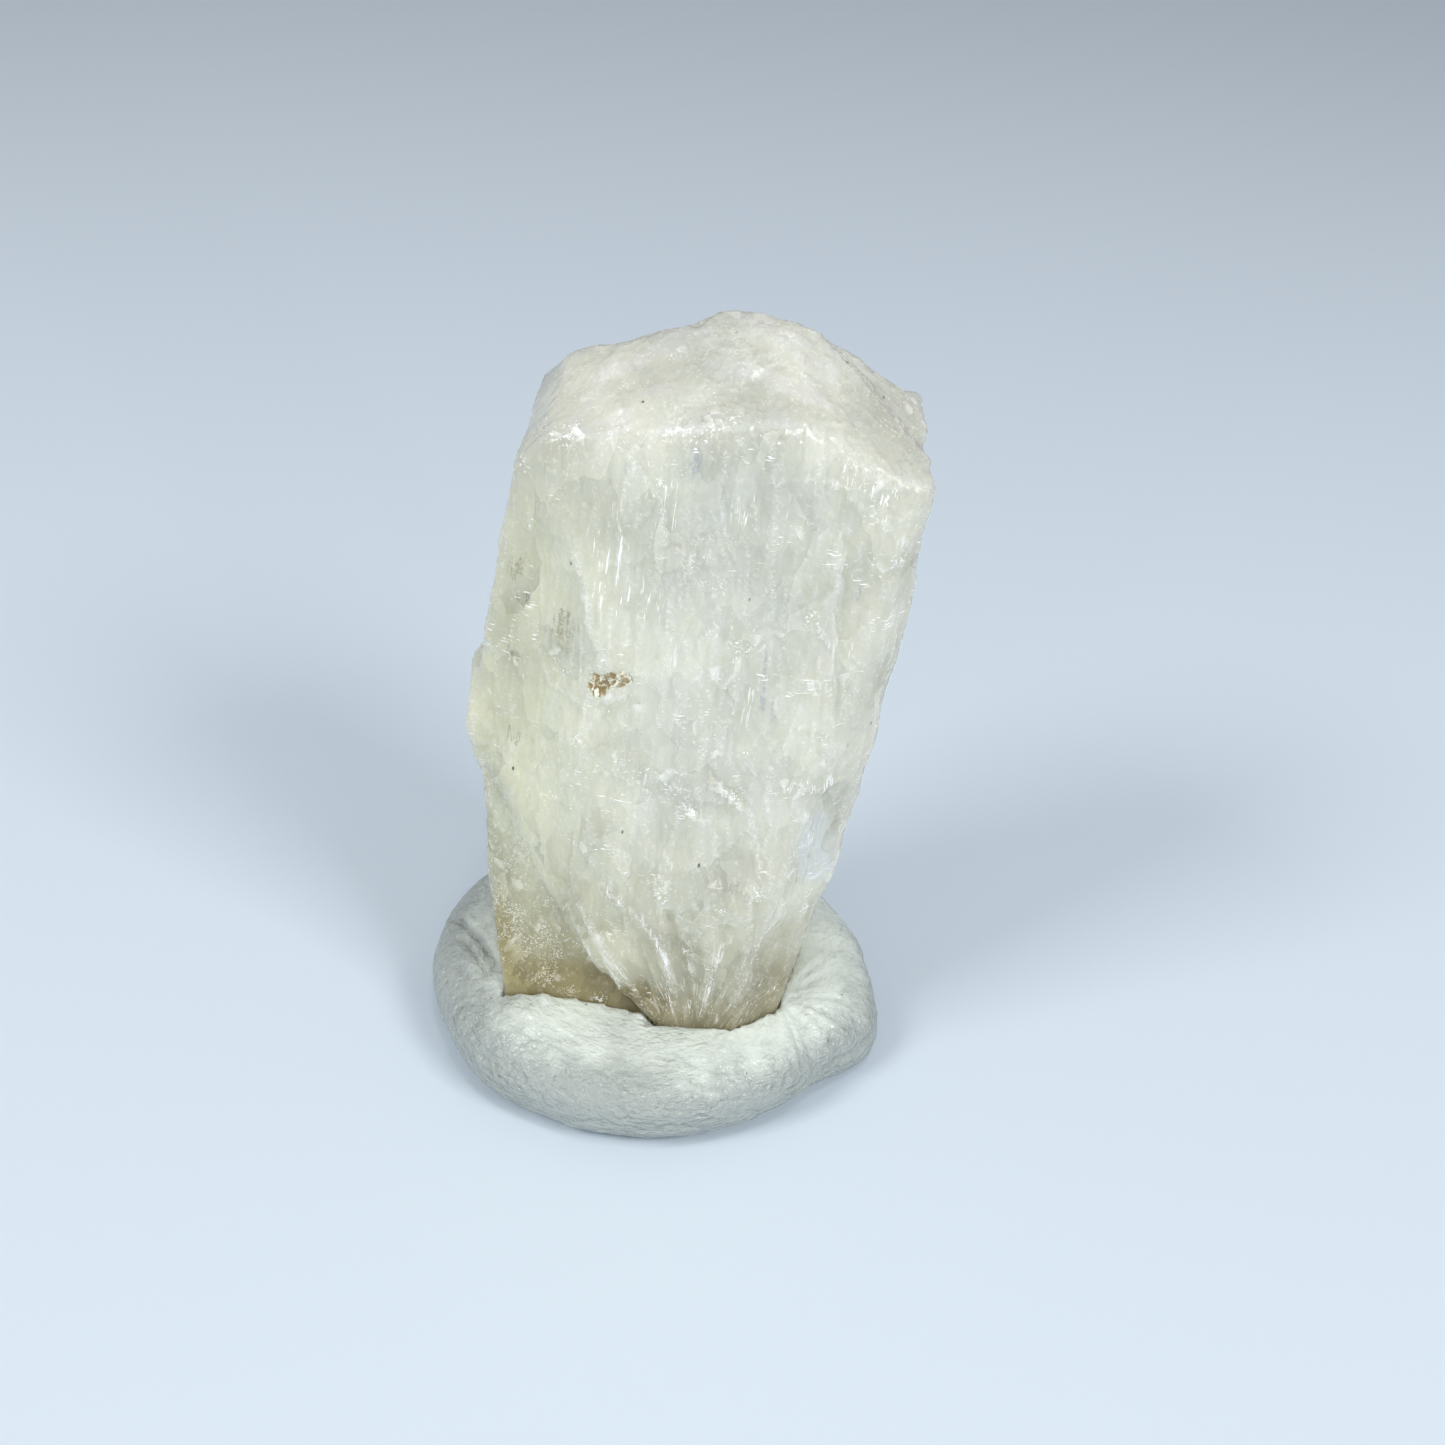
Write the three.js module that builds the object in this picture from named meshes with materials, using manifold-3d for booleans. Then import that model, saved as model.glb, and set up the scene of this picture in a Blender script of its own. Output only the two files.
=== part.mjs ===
// A rough scapolite crystal standing in a lump of mounting putty.
//
// Millimetres, +Z up. The putty lies flat on z = 0 and the crystal's long (c) axis stands upright
// in it, its widest prism face towards -Y. The crystal is a stubby tetragonal prism with a worn,
// shallow pyramid on top: flat faces cut from a block, then growth ledges, cleavage steps,
// striations, etch pits and a lump. A rougher, broken foot stands out at its lower left. The putty
// is a rope pressed into a ring round that foot, with a thin pad left under it.

import * as THREE from 'three';
import Module from 'manifold-3d';
import { mergeVertices } from 'three/addons/utils/BufferGeometryUtils.js';

const wasm = await Module();
wasm.setup();

// ---------------------------------------------------------------- driving dimensions

const CRYSTAL_FOOT_Z = 1.6; // lowest point of the crystal, sunk in the putty
const CRYSTAL_TOP_Z = 42.3; // worn flat on the tip
const FRONT_Y = -6.6; // front prism face at half height
const BACK_Y = 5.6; // back prism face at half height
const PUTTY_RIM_Z = 5.15; // where the putty meets the crystal
const PUTTY_WAIST_Z = 2.5; // where the putty's side bulges most
const PUTTY_TUCK = 2.4; // how far the side rolls in again below the waist
const ROLL_WIDTH = 5.0; // breadth of the rounded roll, measured in from its side
const POCKET_GAP = 0.3; // free space between crystal and putty

// Flat faces: [azimuth of the outward normal, its pitch above the horizontal, a point on the face].
// Azimuth 0 is +X (the right), -90 is -Y (the front), in degrees.
const BODY_FACES = {
  front: [-90, 1.3, [0, FRONT_Y, 20]],
  frontLeft: [-118, -1, [-4.0, -6.45, 29]],
  frontLeftBevel: [-103, 1, [-3.5, -6.55, 26]],
  leftUpper: [178, 10.5, [-9.9, -3.3, 20.4]],
  leftLower: [178, -3.5, [-9.3, -3.3, 17.5]],
  backLeft: [128, 3, [-7.4, 3.0, 24]],
  back: [88, -1.5, [0, BACK_Y, 20]],
  backRight: [40, -5, [9.3, 3.6, 24]],
  rightUpper: [2, -1, [11.6, -4, 33]],
  rightMiddle: [-1, -8.7, [11.5, -4, 27.5]],
  rightFoot: [-12, -12.2, [9.1, -4, 12.5]],
  frontRight: [-52, -5.5, [8.2, -6.6, 24]],
  frontTop: [-107, 62.9, [0, -6.4, 38.9]],
  leftTop: [-136, 67.5, [-3.4, 0, 41.0]],
  rightTop: [-38, 55.5, [6.6, 0, 41.8]],
  backLeftTop: [110, 49.5, [-3.4, 0, 41.0]],
  backRightTop: [56, 46, [6.6, 0, 41.8]],
  backTop: [92, 54, [3, 0.4, CRYSTAL_TOP_Z]],
  leftShoulder: [-172, 36, [-5.75, 0, 39.15]],
  rightShoulder: [-4, 22.4, [11.45, 0, 38.8]],
  tip: [-20, 86, [2.6, 0, CRYSTAL_TOP_Z]],
  brokenEdge: [180, -26.3, [-5.9, -6, 13]],
  brokenEdgeLow: [180, -41, [-2.4, -6, 7.8]],
  underside: [-20, -86, [2, 0, CRYSTAL_FOOT_Z]],
};

// The rougher foot at the lower left, a separate block grown into the body.
const FOOT_FACES = {
  front: [-95, 5, [-8.0, -5.4, 5]],
  corner: [-135, 8, [-8.6, -4.8, 8]],
  left: BODY_FACES.leftLower,
  leftLow: [172, -11, [-8.75, -4, 10]],
  top: [150, 60, [-9.2, -3.4, 19.6]],
  back: [100, -2, [-4, 4.2, 12]],
  right: [0, 0, [3.5, 0, 10]],
  underside: [-160, -84, [-3, 0, CRYSTAL_FOOT_Z + 0.3]],
};

// ---------------------------------------------------------------- solids and cutting

/** The solid of a closed geometry, moved by a matrix. */
function toSolid(geometry, matrix = new THREE.Matrix4()) {
  const bare = geometry.index ? geometry.toNonIndexed() : geometry.clone();
  bare.deleteAttribute('normal');
  bare.deleteAttribute('uv');
  bare.applyMatrix4(matrix);
  const merged = mergeVertices(bare, 1e-5);
  return new wasm.Manifold(new wasm.Mesh({
    numProp: 3,
    vertProperties: new Float32Array(merged.attributes.position.array),
    triVerts: new Uint32Array(merged.index.array),
  }));
}

/** The geometry of a solid, with flat shading. */
function toGeometry(solid) {
  const mesh = solid.getMesh();
  const geometry = new THREE.BufferGeometry();
  geometry.setAttribute('position', new THREE.BufferAttribute(mesh.vertProperties, 3));
  geometry.setIndex(new THREE.BufferAttribute(mesh.triVerts, 1));
  const flat = geometry.toNonIndexed();
  flat.computeVertexNormals();
  return flat;
}

/** Unit vector from an azimuth and a pitch in degrees. */
function direction(azimuth, pitch) {
  const [a, p] = [azimuth, pitch].map(THREE.MathUtils.degToRad);
  return new THREE.Vector3(Math.cos(p) * Math.cos(a), Math.cos(p) * Math.sin(a), Math.sin(p));
}

/**
 * Axes on a face, seen from outside: across (level, to the right), up (uphill), out (the normal).
 */
function faceFrame([azimuth, pitch, point]) {
  const out = direction(azimuth, pitch);
  const across = direction(azimuth + 90, 0);
  const up = new THREE.Vector3().crossVectors(out, across);
  return new THREE.Matrix4().makeBasis(across, up, out).setPosition(...point);
}

const BLOCK = 120; // larger than anything here

/** Everything outside a face, moved out by a clearance. */
function outside(face, clearance) {
  const box = new THREE.BoxGeometry(3 * BLOCK, 3 * BLOCK, 3 * BLOCK);
  box.translate(0, 0, 1.5 * BLOCK + clearance);
  return toSolid(box, faceFrame(face));
}

/** The convex block that a set of faces encloses, grown by a clearance. */
function facetedBlock(faces, clearance = 0) {
  let block = toSolid(new THREE.BoxGeometry(BLOCK, BLOCK, BLOCK));
  for (const face of Object.values(faces)) {
    block = block.subtract(outside(face, clearance));
  }
  return block;
}

// ---------------------------------------------------------------- surface features

const LEDGE_RUN = 40; // ledges run on past the edge of their face
const SLAB_THICKNESS = 6; // of the box that cuts a ledge
const GROOVE_TAPER = 0.5; // width of a groove's lower end, as a share of its upper end
const GROOVE_DEPTH_SHARE = 0.5; // depth of a groove, as a share of half its width

/**
 * A ledge: past a riser, the face lies deeper. It runs on to the edge of the face, or for `reach`.
 * heading turns the way it runs, from `across` towards `up`; at is where the riser stands.
 */
function ledge(face, at, heading, depth, breadth = LEDGE_RUN, reach = LEDGE_RUN) {
  const slab = new THREE.BoxGeometry(reach, breadth, SLAB_THICKNESS);
  slab.translate(reach / 2, 0, SLAB_THICKNESS / 2 - depth);
  const turned = new THREE.Matrix4().makeRotationZ(THREE.MathUtils.degToRad(heading));
  return toSolid(slab, faceFrame([face[0], face[1], at]).multiply(turned));
}

/** A striation: a shallow V groove `length` long on a face, heading as for a ledge. */
function striation(face, at, heading, length, width) {
  const rod = new THREE.CylinderGeometry(width / 2, width / 2 * GROOVE_TAPER, length, 4, 1);
  rod.scale(1, 1, GROOVE_DEPTH_SHARE);
  const turned = new THREE.Matrix4().makeRotationZ(THREE.MathUtils.degToRad(heading - 90));
  return toSolid(rod, faceFrame([face[0], face[1], at]).multiply(turned));
}

/** An etch pit or a lump: an angular body of `size` (across, up, out) set in a face. */
function angular(face, at, size, turn) {
  const body = new THREE.IcosahedronGeometry(1, 0);
  body.rotateZ(THREE.MathUtils.degToRad(turn));
  body.scale(...size);
  return toSolid(body, faceFrame([face[0], face[1], at]));
}

/** A point on a face, at a given x and z (or x and y, for a face on top). */
function onFace([azimuth, pitch, point], x, other, steep = true) {
  const n = direction(azimuth, pitch);
  const [px, py, pz] = point;
  if (steep) {
    return [x, py - (n.x * (x - px) + n.z * (other - pz)) / n.y, other];
  }
  return [x, other, pz - (n.x * (x - px) + n.y * (other - py)) / n.z];
}

// Growth ledges on the tip: [face, x, y of the riser, heading, depth].
const TOP_LEDGES = [
  ['rightTop', 6.1, 0, 4, 0.28],
  ['rightTop', 8.8, 0, -8, 0.34],
  ['frontTop', 2.0, -4.4, -38, 0.22],
  ['leftTop', -3.4, -2.2, 196, 0.25],
  ['backLeftTop', -1.0, 2.6, 20, 0.35],
  ['backRightTop', 6.0, 2.0, 120, 0.3],
];

// Cleavage steps down the sides: [face, x, z of the riser, heading, depth, breadth, reach].
const SIDE_STEPS = [
  ['front', 8.2, 30, 4, 0.3, 13, 12],
  ['back', -2.2, 25, 8, 0.5, 30, 12],
  ['back', 3.4, 13, 188, 0.4, 19, 12],
  ['backLeft', -6.6, 19, 62, 0.4, 14, 22],
  ['backRight', 9.2, 28, 118, 0.35, 14, 20],
];

// Striations along the long axis: [face, first x, last x, count, middle z, length, lean].
const STRIAE = [
  ['front', -1.6, 6.6, 5, 27, 14, 87],
  ['frontLeft', -7.4, -5.4, 2, 25, 10, 84],
  ['back', -4.6, 6.4, 8, 22, 21, 92],
];

// How unevenly the striations of a face are spread, set along it and opened.
const STRIA_WANDER = 0.45;
const STRIA_SHIFT = 2.4;
const STRIA_WIDTH = 0.36;
const STRIA_WIDTH_SWING = 0.14;

// Flutes that spread up from the broken foot: [x, z of the middle, length, width, lean].
const FLUTES = [
  [-0.9, 8.2, 7.5, 1.3, 118],
  [1.8, 8.8, 8.0, 1.5, 102],
  [3.6, 8.4, 7.0, 1.2, 84],
  [5.2, 8.6, 7.0, 1.1, 72],
];

// Pits and lumps: [face, x, z, size across, up and out, turn].
const PITS = [
  ['front', -2.5, 26.1, [0.95, 0.55, 0.35], 25],
  ['front', 6.8, 35.2, [0.7, 0.5, 0.25], 0],
  ['front', 2.4, 19.3, [1.0, 0.5, 0.25], 15],
  ['back', 2.2, 30, [1.6, 1.0, 0.4], 30],
  ['back', -3.6, 16, [1.1, 1.5, 0.4], 70],
];
const LUMPS = [
  ['leftLower', [-9.1, -1.0, 20.9], [3.9, 4.6, 0.85], 12],
  ['backRight', [9.0, 3.4, 17.0], [2.6, 7.0, 0.6], 8],
];

/** The crystal's faces without its small features; the putty's pocket is cut by the same blank. */
function crystalBlank(clearance = 0) {
  const body = facetedBlock(BODY_FACES, clearance);
  const foot = facetedBlock(FOOT_FACES, clearance);
  return body.add(foot);
}

/** The finished crystal. */
function buildCrystal() {
  let crystal = crystalBlank();
  for (const [name, at, size, turn] of LUMPS) {
    crystal = crystal.add(angular(BODY_FACES[name], at, size, turn));
  }
  for (const [name, x, y, heading, depth] of TOP_LEDGES) {
    const face = BODY_FACES[name];
    crystal = crystal.subtract(ledge(face, onFace(face, x, y, false), heading, depth));
  }
  for (const [name, x, z, heading, depth, breadth, reach] of SIDE_STEPS) {
    const face = BODY_FACES[name];
    crystal = crystal.subtract(ledge(face, onFace(face, x, z), heading, depth, breadth, reach));
  }
  for (const [name, first, last, count, z, length, lean] of STRIAE) {
    for (let i = 0; i < count; i += 1) {
      const even = first + ((last - first) * i) / (count - 1);
      const x = even + STRIA_WANDER * Math.sin(4.1 * i + last);
      const shift = STRIA_SHIFT * Math.sin(2.3 * i + first);
      const width = STRIA_WIDTH + STRIA_WIDTH_SWING * Math.sin(1.7 * i);
      const at = onFace(BODY_FACES[name], x, z + shift);
      crystal = crystal.subtract(striation(BODY_FACES[name], at, lean, length + shift, width));
    }
  }
  for (const [x, z, length, width, lean] of FLUTES) {
    const at = onFace(BODY_FACES.front, x, z);
    crystal = crystal.subtract(striation(BODY_FACES.front, at, lean, length, width));
  }
  for (const [name, x, z, size, turn] of PITS) {
    const face = BODY_FACES[name];
    crystal = crystal.subtract(angular(face, onFace(face, x, z), size, turn));
  }
  return crystal;
}

// ---------------------------------------------------------------- the putty

// Outer radius of the ring by azimuth in degrees, squeezed by hand.
const PUTTY_PLAN = [
  [-90, 12.0], [-60, 12.0], [-38, 12.0], [-12, 12.8], [8, 12.5], [30, 12.1],
  [60, 12.4], [90, 12.5], [125, 12.6], [152, 12.9], [180, 12.7], [205, 12.4], [228, 12.4],
  [248, 12.1],
];
// The flap: the rope's pulled end, pressed flat on the floor as a low thin lip.
const FLAP = { azimuth: -15, halfWidth: 14, reach: 0.7, lipZ: 1.3, tuck: 0.8 };
// The rim's slow rise and fall round the ring: [waves, height, phase].
const SWELLS = [[2, 0.16, 0.6], [5, 0.1, 0]];
// Below 1, these make the roll's shoulder fuller than an ellipse's.
const SHOULDER_OUT = 0.92;
const SHOULDER_UP = 0.86;
const RING_STEPS = 84; // round the ring
const TOP_STEPS = 9; // over the roll, from the crystal to the waist
const UNDER_STEPS = 4; // from the waist down to the floor
const CREASE_STEPS = 14; // along a crease
const CREASES = [
  { path: [[-12.6, 2.6, 3.6], [-11.3, 0.8, 4.8], [-10.0, -1.3, 5.25], [-8.6, -3.7, 5.2]], r: 0.42 },
  { path: [[2.0, -9.6, 4.9], [3.2, -10.2, 4.5], [4.6, -10.2, 4.35]], r: 0.3 },
  { path: [[-7.2, 9.6, 4.1], [-5.2, 8.2, 5.0], [-2.8, 7.4, 5.2]], r: 0.34 },
];

/** The ring's outline as a function that gives the outer radius at an azimuth in radians. */
function planRadius() {
  const points = PUTTY_PLAN.map(([azimuth, radius]) => new THREE.Vector3(azimuth, radius, 0));
  const first = points[0];
  const last = points[points.length - 1];
  points.unshift(new THREE.Vector3(last.x - 360, last.y, 0));
  points.push(new THREE.Vector3(first.x + 360, first.y, 0));
  return (angle) => {
    let degrees = THREE.MathUtils.radToDeg(angle);
    while (degrees < first.x) degrees += 360;
    while (degrees >= first.x + 360) degrees -= 360;
    const after = points.findIndex((p) => p.x > degrees);
    const [a, b] = [points[after - 1], points[after]];
    const share = THREE.MathUtils.smoothstep(degrees, a.x, b.x);
    return THREE.MathUtils.lerp(a.y, b.y, share);
  };
}

/** How far the section at an azimuth in radians belongs to the flap, from 0 to 1. */
function flapShare(angle) {
  const away = THREE.MathUtils.radToDeg(angle) - FLAP.azimuth;
  const nearest = ((away + 540) % 360) - 180;
  return Math.exp(-((nearest / FLAP.halfWidth) ** 2));
}

/** The section of the roll at an azimuth: [radius, z] from the middle of the top to the floor. */
function rollSection(angle, plainRadius) {
  const flap = flapShare(angle);
  const outer = plainRadius + FLAP.reach * flap;
  const waist = THREE.MathUtils.lerp(PUTTY_WAIST_Z, FLAP.lipZ, flap);
  const tuck = THREE.MathUtils.lerp(PUTTY_TUCK, FLAP.tuck, flap);
  let rim = PUTTY_RIM_Z;
  for (const [waves, height, phase] of SWELLS) {
    rim += height * Math.sin(waves * angle + phase);
  }
  const section = [];
  for (let i = 0; i <= TOP_STEPS; i += 1) {
    const turn = (i / TOP_STEPS) * (Math.PI / 2);
    const out = Math.sin(turn) ** SHOULDER_OUT;
    const up = Math.cos(turn) ** SHOULDER_UP;
    section.push([outer - ROLL_WIDTH * (1 - out), waist + (rim - waist) * up]);
  }
  for (let i = 1; i <= UNDER_STEPS; i += 1) {
    const turn = (i / UNDER_STEPS) * (Math.PI / 2);
    section.push([outer - tuck * (1 - Math.cos(turn)), waist * (1 - Math.sin(turn))]);
  }
  return section;
}

/** The lump before the crystal is pressed in: a closed net of sections round the axis. */
function doughGeometry() {
  const radiusAt = planRadius();
  const positions = [0, 0, PUTTY_RIM_Z, 0, 0, 0];
  const [top, bottom, start] = [0, 1, 2];
  let rows = 0;
  for (let i = 0; i < RING_STEPS; i += 1) {
    const angle = (i / RING_STEPS) * 2 * Math.PI;
    const section = rollSection(angle, radiusAt(angle));
    rows = section.length;
    for (const [radius, z] of section) {
      positions.push(radius * Math.cos(angle), radius * Math.sin(angle), z);
    }
  }
  const at = (i, j) => start + (i % RING_STEPS) * rows + j;
  const index = [];
  for (let i = 0; i < RING_STEPS; i += 1) {
    index.push(top, at(i, 0), at(i + 1, 0));
    for (let j = 0; j + 1 < rows; j += 1) {
      index.push(at(i, j), at(i, j + 1), at(i + 1, j + 1));
      index.push(at(i, j), at(i + 1, j + 1), at(i + 1, j));
    }
    index.push(bottom, at(i + 1, rows - 1), at(i, rows - 1));
  }
  const geometry = new THREE.BufferGeometry();
  geometry.setAttribute('position', new THREE.Float32BufferAttribute(positions, 3));
  geometry.setIndex(index);
  return geometry;
}

/** A round-bottomed crease along a path over the surface. */
function crease({ path, r }) {
  const curve = new THREE.CatmullRomCurve3(path.map((p) => new THREE.Vector3(...p)));
  const section = new THREE.Shape();
  section.absarc(0, 0, r, 0, 2 * Math.PI);
  const options = {
    steps: CREASE_STEPS, curveSegments: 4, extrudePath: curve, bevelEnabled: false,
  };
  return toSolid(new THREE.ExtrudeGeometry(section, options));
}

/** The finished putty: the dough, less its creases and the crystal's pocket. */
function buildPutty() {
  let putty = toSolid(doughGeometry());
  for (const fold of CREASES) {
    putty = putty.subtract(crease(fold));
  }
  return putty.subtract(crystalBlank(POCKET_GAP));
}

// ---------------------------------------------------------------- the object

const crystalMaterial = new THREE.MeshStandardMaterial({
  name: 'crystal', color: 0xd4d9cb, roughness: 0.28, metalness: 0,
});
const puttyMaterial = new THREE.MeshStandardMaterial({
  name: 'putty', color: 0xc6cec9, roughness: 0.6, metalness: 0,
});

const crystal = new THREE.Mesh(toGeometry(buildCrystal()), crystalMaterial);
crystal.name = 'crystal';
const putty = new THREE.Mesh(toGeometry(buildPutty()), puttyMaterial);
putty.name = 'putty_ring';

const specimen = new THREE.Group();
specimen.add(crystal, putty);

// The origin is the middle of the footprint, on the floor.
const box = new THREE.Box3().setFromObject(specimen);
const middle = box.getCenter(new THREE.Vector3());
specimen.position.set(-middle.x, -middle.y, -box.min.z);
specimen.updateMatrixWorld(true);

export default specimen;
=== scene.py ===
"""A milky scapolite crystal standing in a hand-pressed ring of white mounting putty.

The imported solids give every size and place. The crystal's skin is wrapped round its solid and carved
with growth plates, striations, chips and a rough broken foot; cleavage veils hang inside it. The
putty is a fine copy of its solid, pressed against the crystal and marked by fingers.
Lengths are metres, except where a comment or a docstring says millimetres.
"""

import logging
import math
from dataclasses import dataclass, field
from enum import Enum

import bmesh
import bpy
import numpy as np
from mathutils import Matrix, Vector
from mathutils.bvhtree import BVHTree


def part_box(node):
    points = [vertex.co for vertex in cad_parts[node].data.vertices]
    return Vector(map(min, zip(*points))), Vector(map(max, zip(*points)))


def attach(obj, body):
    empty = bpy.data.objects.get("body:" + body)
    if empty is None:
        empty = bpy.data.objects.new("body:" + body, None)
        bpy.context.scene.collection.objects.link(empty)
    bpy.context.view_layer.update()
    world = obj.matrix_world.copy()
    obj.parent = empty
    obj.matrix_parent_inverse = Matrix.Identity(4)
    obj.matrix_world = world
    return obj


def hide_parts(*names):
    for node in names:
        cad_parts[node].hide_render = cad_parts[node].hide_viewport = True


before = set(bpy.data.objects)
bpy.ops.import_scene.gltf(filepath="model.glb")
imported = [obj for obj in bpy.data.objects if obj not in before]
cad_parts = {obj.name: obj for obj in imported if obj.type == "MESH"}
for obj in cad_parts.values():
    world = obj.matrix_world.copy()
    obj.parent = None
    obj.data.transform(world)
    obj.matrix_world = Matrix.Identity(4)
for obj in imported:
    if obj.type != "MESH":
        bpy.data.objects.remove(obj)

log = logging.getLogger("scapolite")
Array = np.ndarray
Triple = tuple[float, float, float]
Scale = Triple | float
MM = 0.001
AXIS_LEAN = 0.096  # sideways run of the crystal's long axis for each step up

# Places on the crystal, all in millimetres.
FRONT = (2.5, 4.5)  # how far towards the front the seen side begins, and is full
BREAK_HEIGHTS = (5.0, 8.0, 10.4, 13.0, 18.9, 23.0)  # heights along the ridge beside the rough break
BREAK_RIDGE = (0.2, -2.6, -4.5, -5.9, -8.4, -10.0)  # where the ridge is, at those heights
FAN_MIDDLE = (2.2, 1.0)  # x and z that the foot's fibres fan out from
ARC_MIDDLE = (1.5, 30.5)  # x and z of the middle of the crown's growth arcs
CONTACT_X = (-8.5, -0.6, 0.4, 4.4, 7.6)  # places along the line where the crystal enters the putty
CONTACT_Z = (4.7, 5.4, 4.8, 4.9, 6.6)  # heights of that line


# ---------- noise for carving


class GradientNoise:
    """Smooth seeded noise in space, about -1 to 1, for carving meshes."""

    SIZE = 256
    GAIN = 1.55
    OCTAVE_SHIFT = 17.3

    def __init__(self, seed: int) -> None:
        """Draws the gradients.

        Args:
            seed: Fixes the pattern.
        """
        rng = np.random.default_rng(seed)
        directions = rng.normal(size=(self.SIZE, 3))
        self.gradients = directions / np.linalg.norm(directions, axis=1, keepdims=True)
        order = rng.permutation(self.SIZE)
        self.order = np.concatenate([order, order])

    def at(self, points: Array, scale: Scale) -> Array:
        """Noise at points, whose coordinates are first multiplied by scale.

        Args:
            points: Points, one a row.
            scale: Cycles per unit, the same or one for each axis.

        Returns:
            One value for each point.
        """
        scaled = points * np.asarray(scale)
        cell = np.floor(scaled).astype(int)
        inside = scaled - cell
        blend = inside**3 * (inside * (inside * 6 - 15) + 10)
        total = np.zeros(len(points))
        for corner in np.ndindex(2, 2, 2):
            offset = np.array(corner)
            x, y, z = ((cell + offset) & (self.SIZE - 1)).T
            gradient = self.gradients[self.order[self.order[self.order[x] + y] + z]]
            share = np.prod(np.where(offset == 1, blend, 1 - blend), axis=1)
            total += share * np.sum(gradient * (inside - offset), axis=1)
        return total * self.GAIN

    def fractal(self, points: Array, scale: Scale, octaves: int) -> Array:
        """Several octaves of the noise, each half as strong and twice as fine.

        Args:
            points: Points, one a row.
            scale: Scale of the coarsest octave.
            octaves: How many octaves.

        Returns:
            One value for each point.
        """
        total = np.zeros(len(points))
        for octave in range(octaves):
            finer = np.asarray(scale) * 2.0**octave
            total += self.at(points + self.OCTAVE_SHIFT * octave, finer) * 0.5**octave
        return total


class CellFacets:
    """Seeded cells in space, each with its own tilted plane, like the faces of broken grains."""

    SIZE = 4096
    STRIDES = (73, 179, 283)
    HIGHEST = 1.5

    def __init__(self, seed: int) -> None:
        """Draws each cell's middle, tilt and level.

        Args:
            seed: Fixes the pattern.
        """
        rng = np.random.default_rng(seed)
        self.jitter = rng.uniform(0.08, 0.92, size=(self.SIZE, 3))
        self.tilt = rng.normal(size=(self.SIZE, 3)) * 0.5
        self.level = rng.uniform(-1.0, 1.0, size=self.SIZE)

    def at(self, points: Array, scale: Scale) -> Array:
        """Height of the plane of each point's nearest cell, about -1 to 1.

        Args:
            points: Points, one a row.
            scale: Cells per unit, the same or one for each axis.

        Returns:
            One value for each point.
        """
        scaled = points * np.asarray(scale)
        cell = np.floor(scaled).astype(int)
        best = np.full(len(points), np.inf)
        height = np.zeros(len(points))
        for step in np.ndindex(3, 3, 3):
            near = cell + np.array(step) - 1
            key = (near @ np.array(self.STRIDES)) & (self.SIZE - 1)
            away = scaled - near - self.jitter[key]
            distance = np.sum(away**2, axis=1)
            closer = distance < best
            best = np.where(closer, distance, best)
            plane = self.level[key] + np.sum(away * self.tilt[key], axis=1)
            height = np.where(closer, plane, height)
        return np.clip(height, -self.HIGHEST, self.HIGHEST)


def ramp(value: Array, low: float, high: float) -> Array:
    """0 below low and 1 above high, with a smooth rise between them; low may be above high."""
    share = np.clip((value - low) / (high - low), 0.0, 1.0)
    return share * share * (3 - 2 * share)


def mixed(first: Array, second: Array, share: Array) -> Array:
    """Points part of the way from one set of places to another, with a share for each point."""
    return first * (1 - share)[:, None] + second * share[:, None]


@dataclass(frozen=True)
class BentLine:
    """A line of straight stretches: its points, its height or depth, and its width, in millimetres."""

    path: tuple[tuple[float, ...], ...]
    height: float
    width: float
    whiteness: float = 0.0

    def nearness(self, at: Array, spread: float = 1.0) -> Array:
        """How near points are to the line, fading from 1 on it.

        Args:
            at: The points, in millimetres.
            spread: How many widths away the nearness has faded to about a third.

        Returns:
            One value for each point.
        """
        away = np.full(len(at), np.inf)
        for start, end in zip(self.path, self.path[1:]):
            start, run = np.array(start), np.array(end) - np.array(start)
            share = np.clip((at - start) @ run / (run @ run), 0, 1)
            away = np.minimum(away, np.linalg.norm(at - start - share[:, None] * run, axis=1))
        return np.exp(-((away / (self.width * spread)) ** 2))


def terraces(value: Array, count: float, riser: float = 0.16) -> Array:
    """A smooth value cut into flat treads with short steep risers between them.

    Args:
        value: The smooth value.
        count: Treads per unit.
        riser: Share of each tread that its riser takes.

    Returns:
        The stepped value.
    """
    scaled = value * count
    tread = np.floor(scaled)
    return (tread + ramp(scaled - tread, 0.0, riser)) / count


# ---------- mesh helpers


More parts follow.
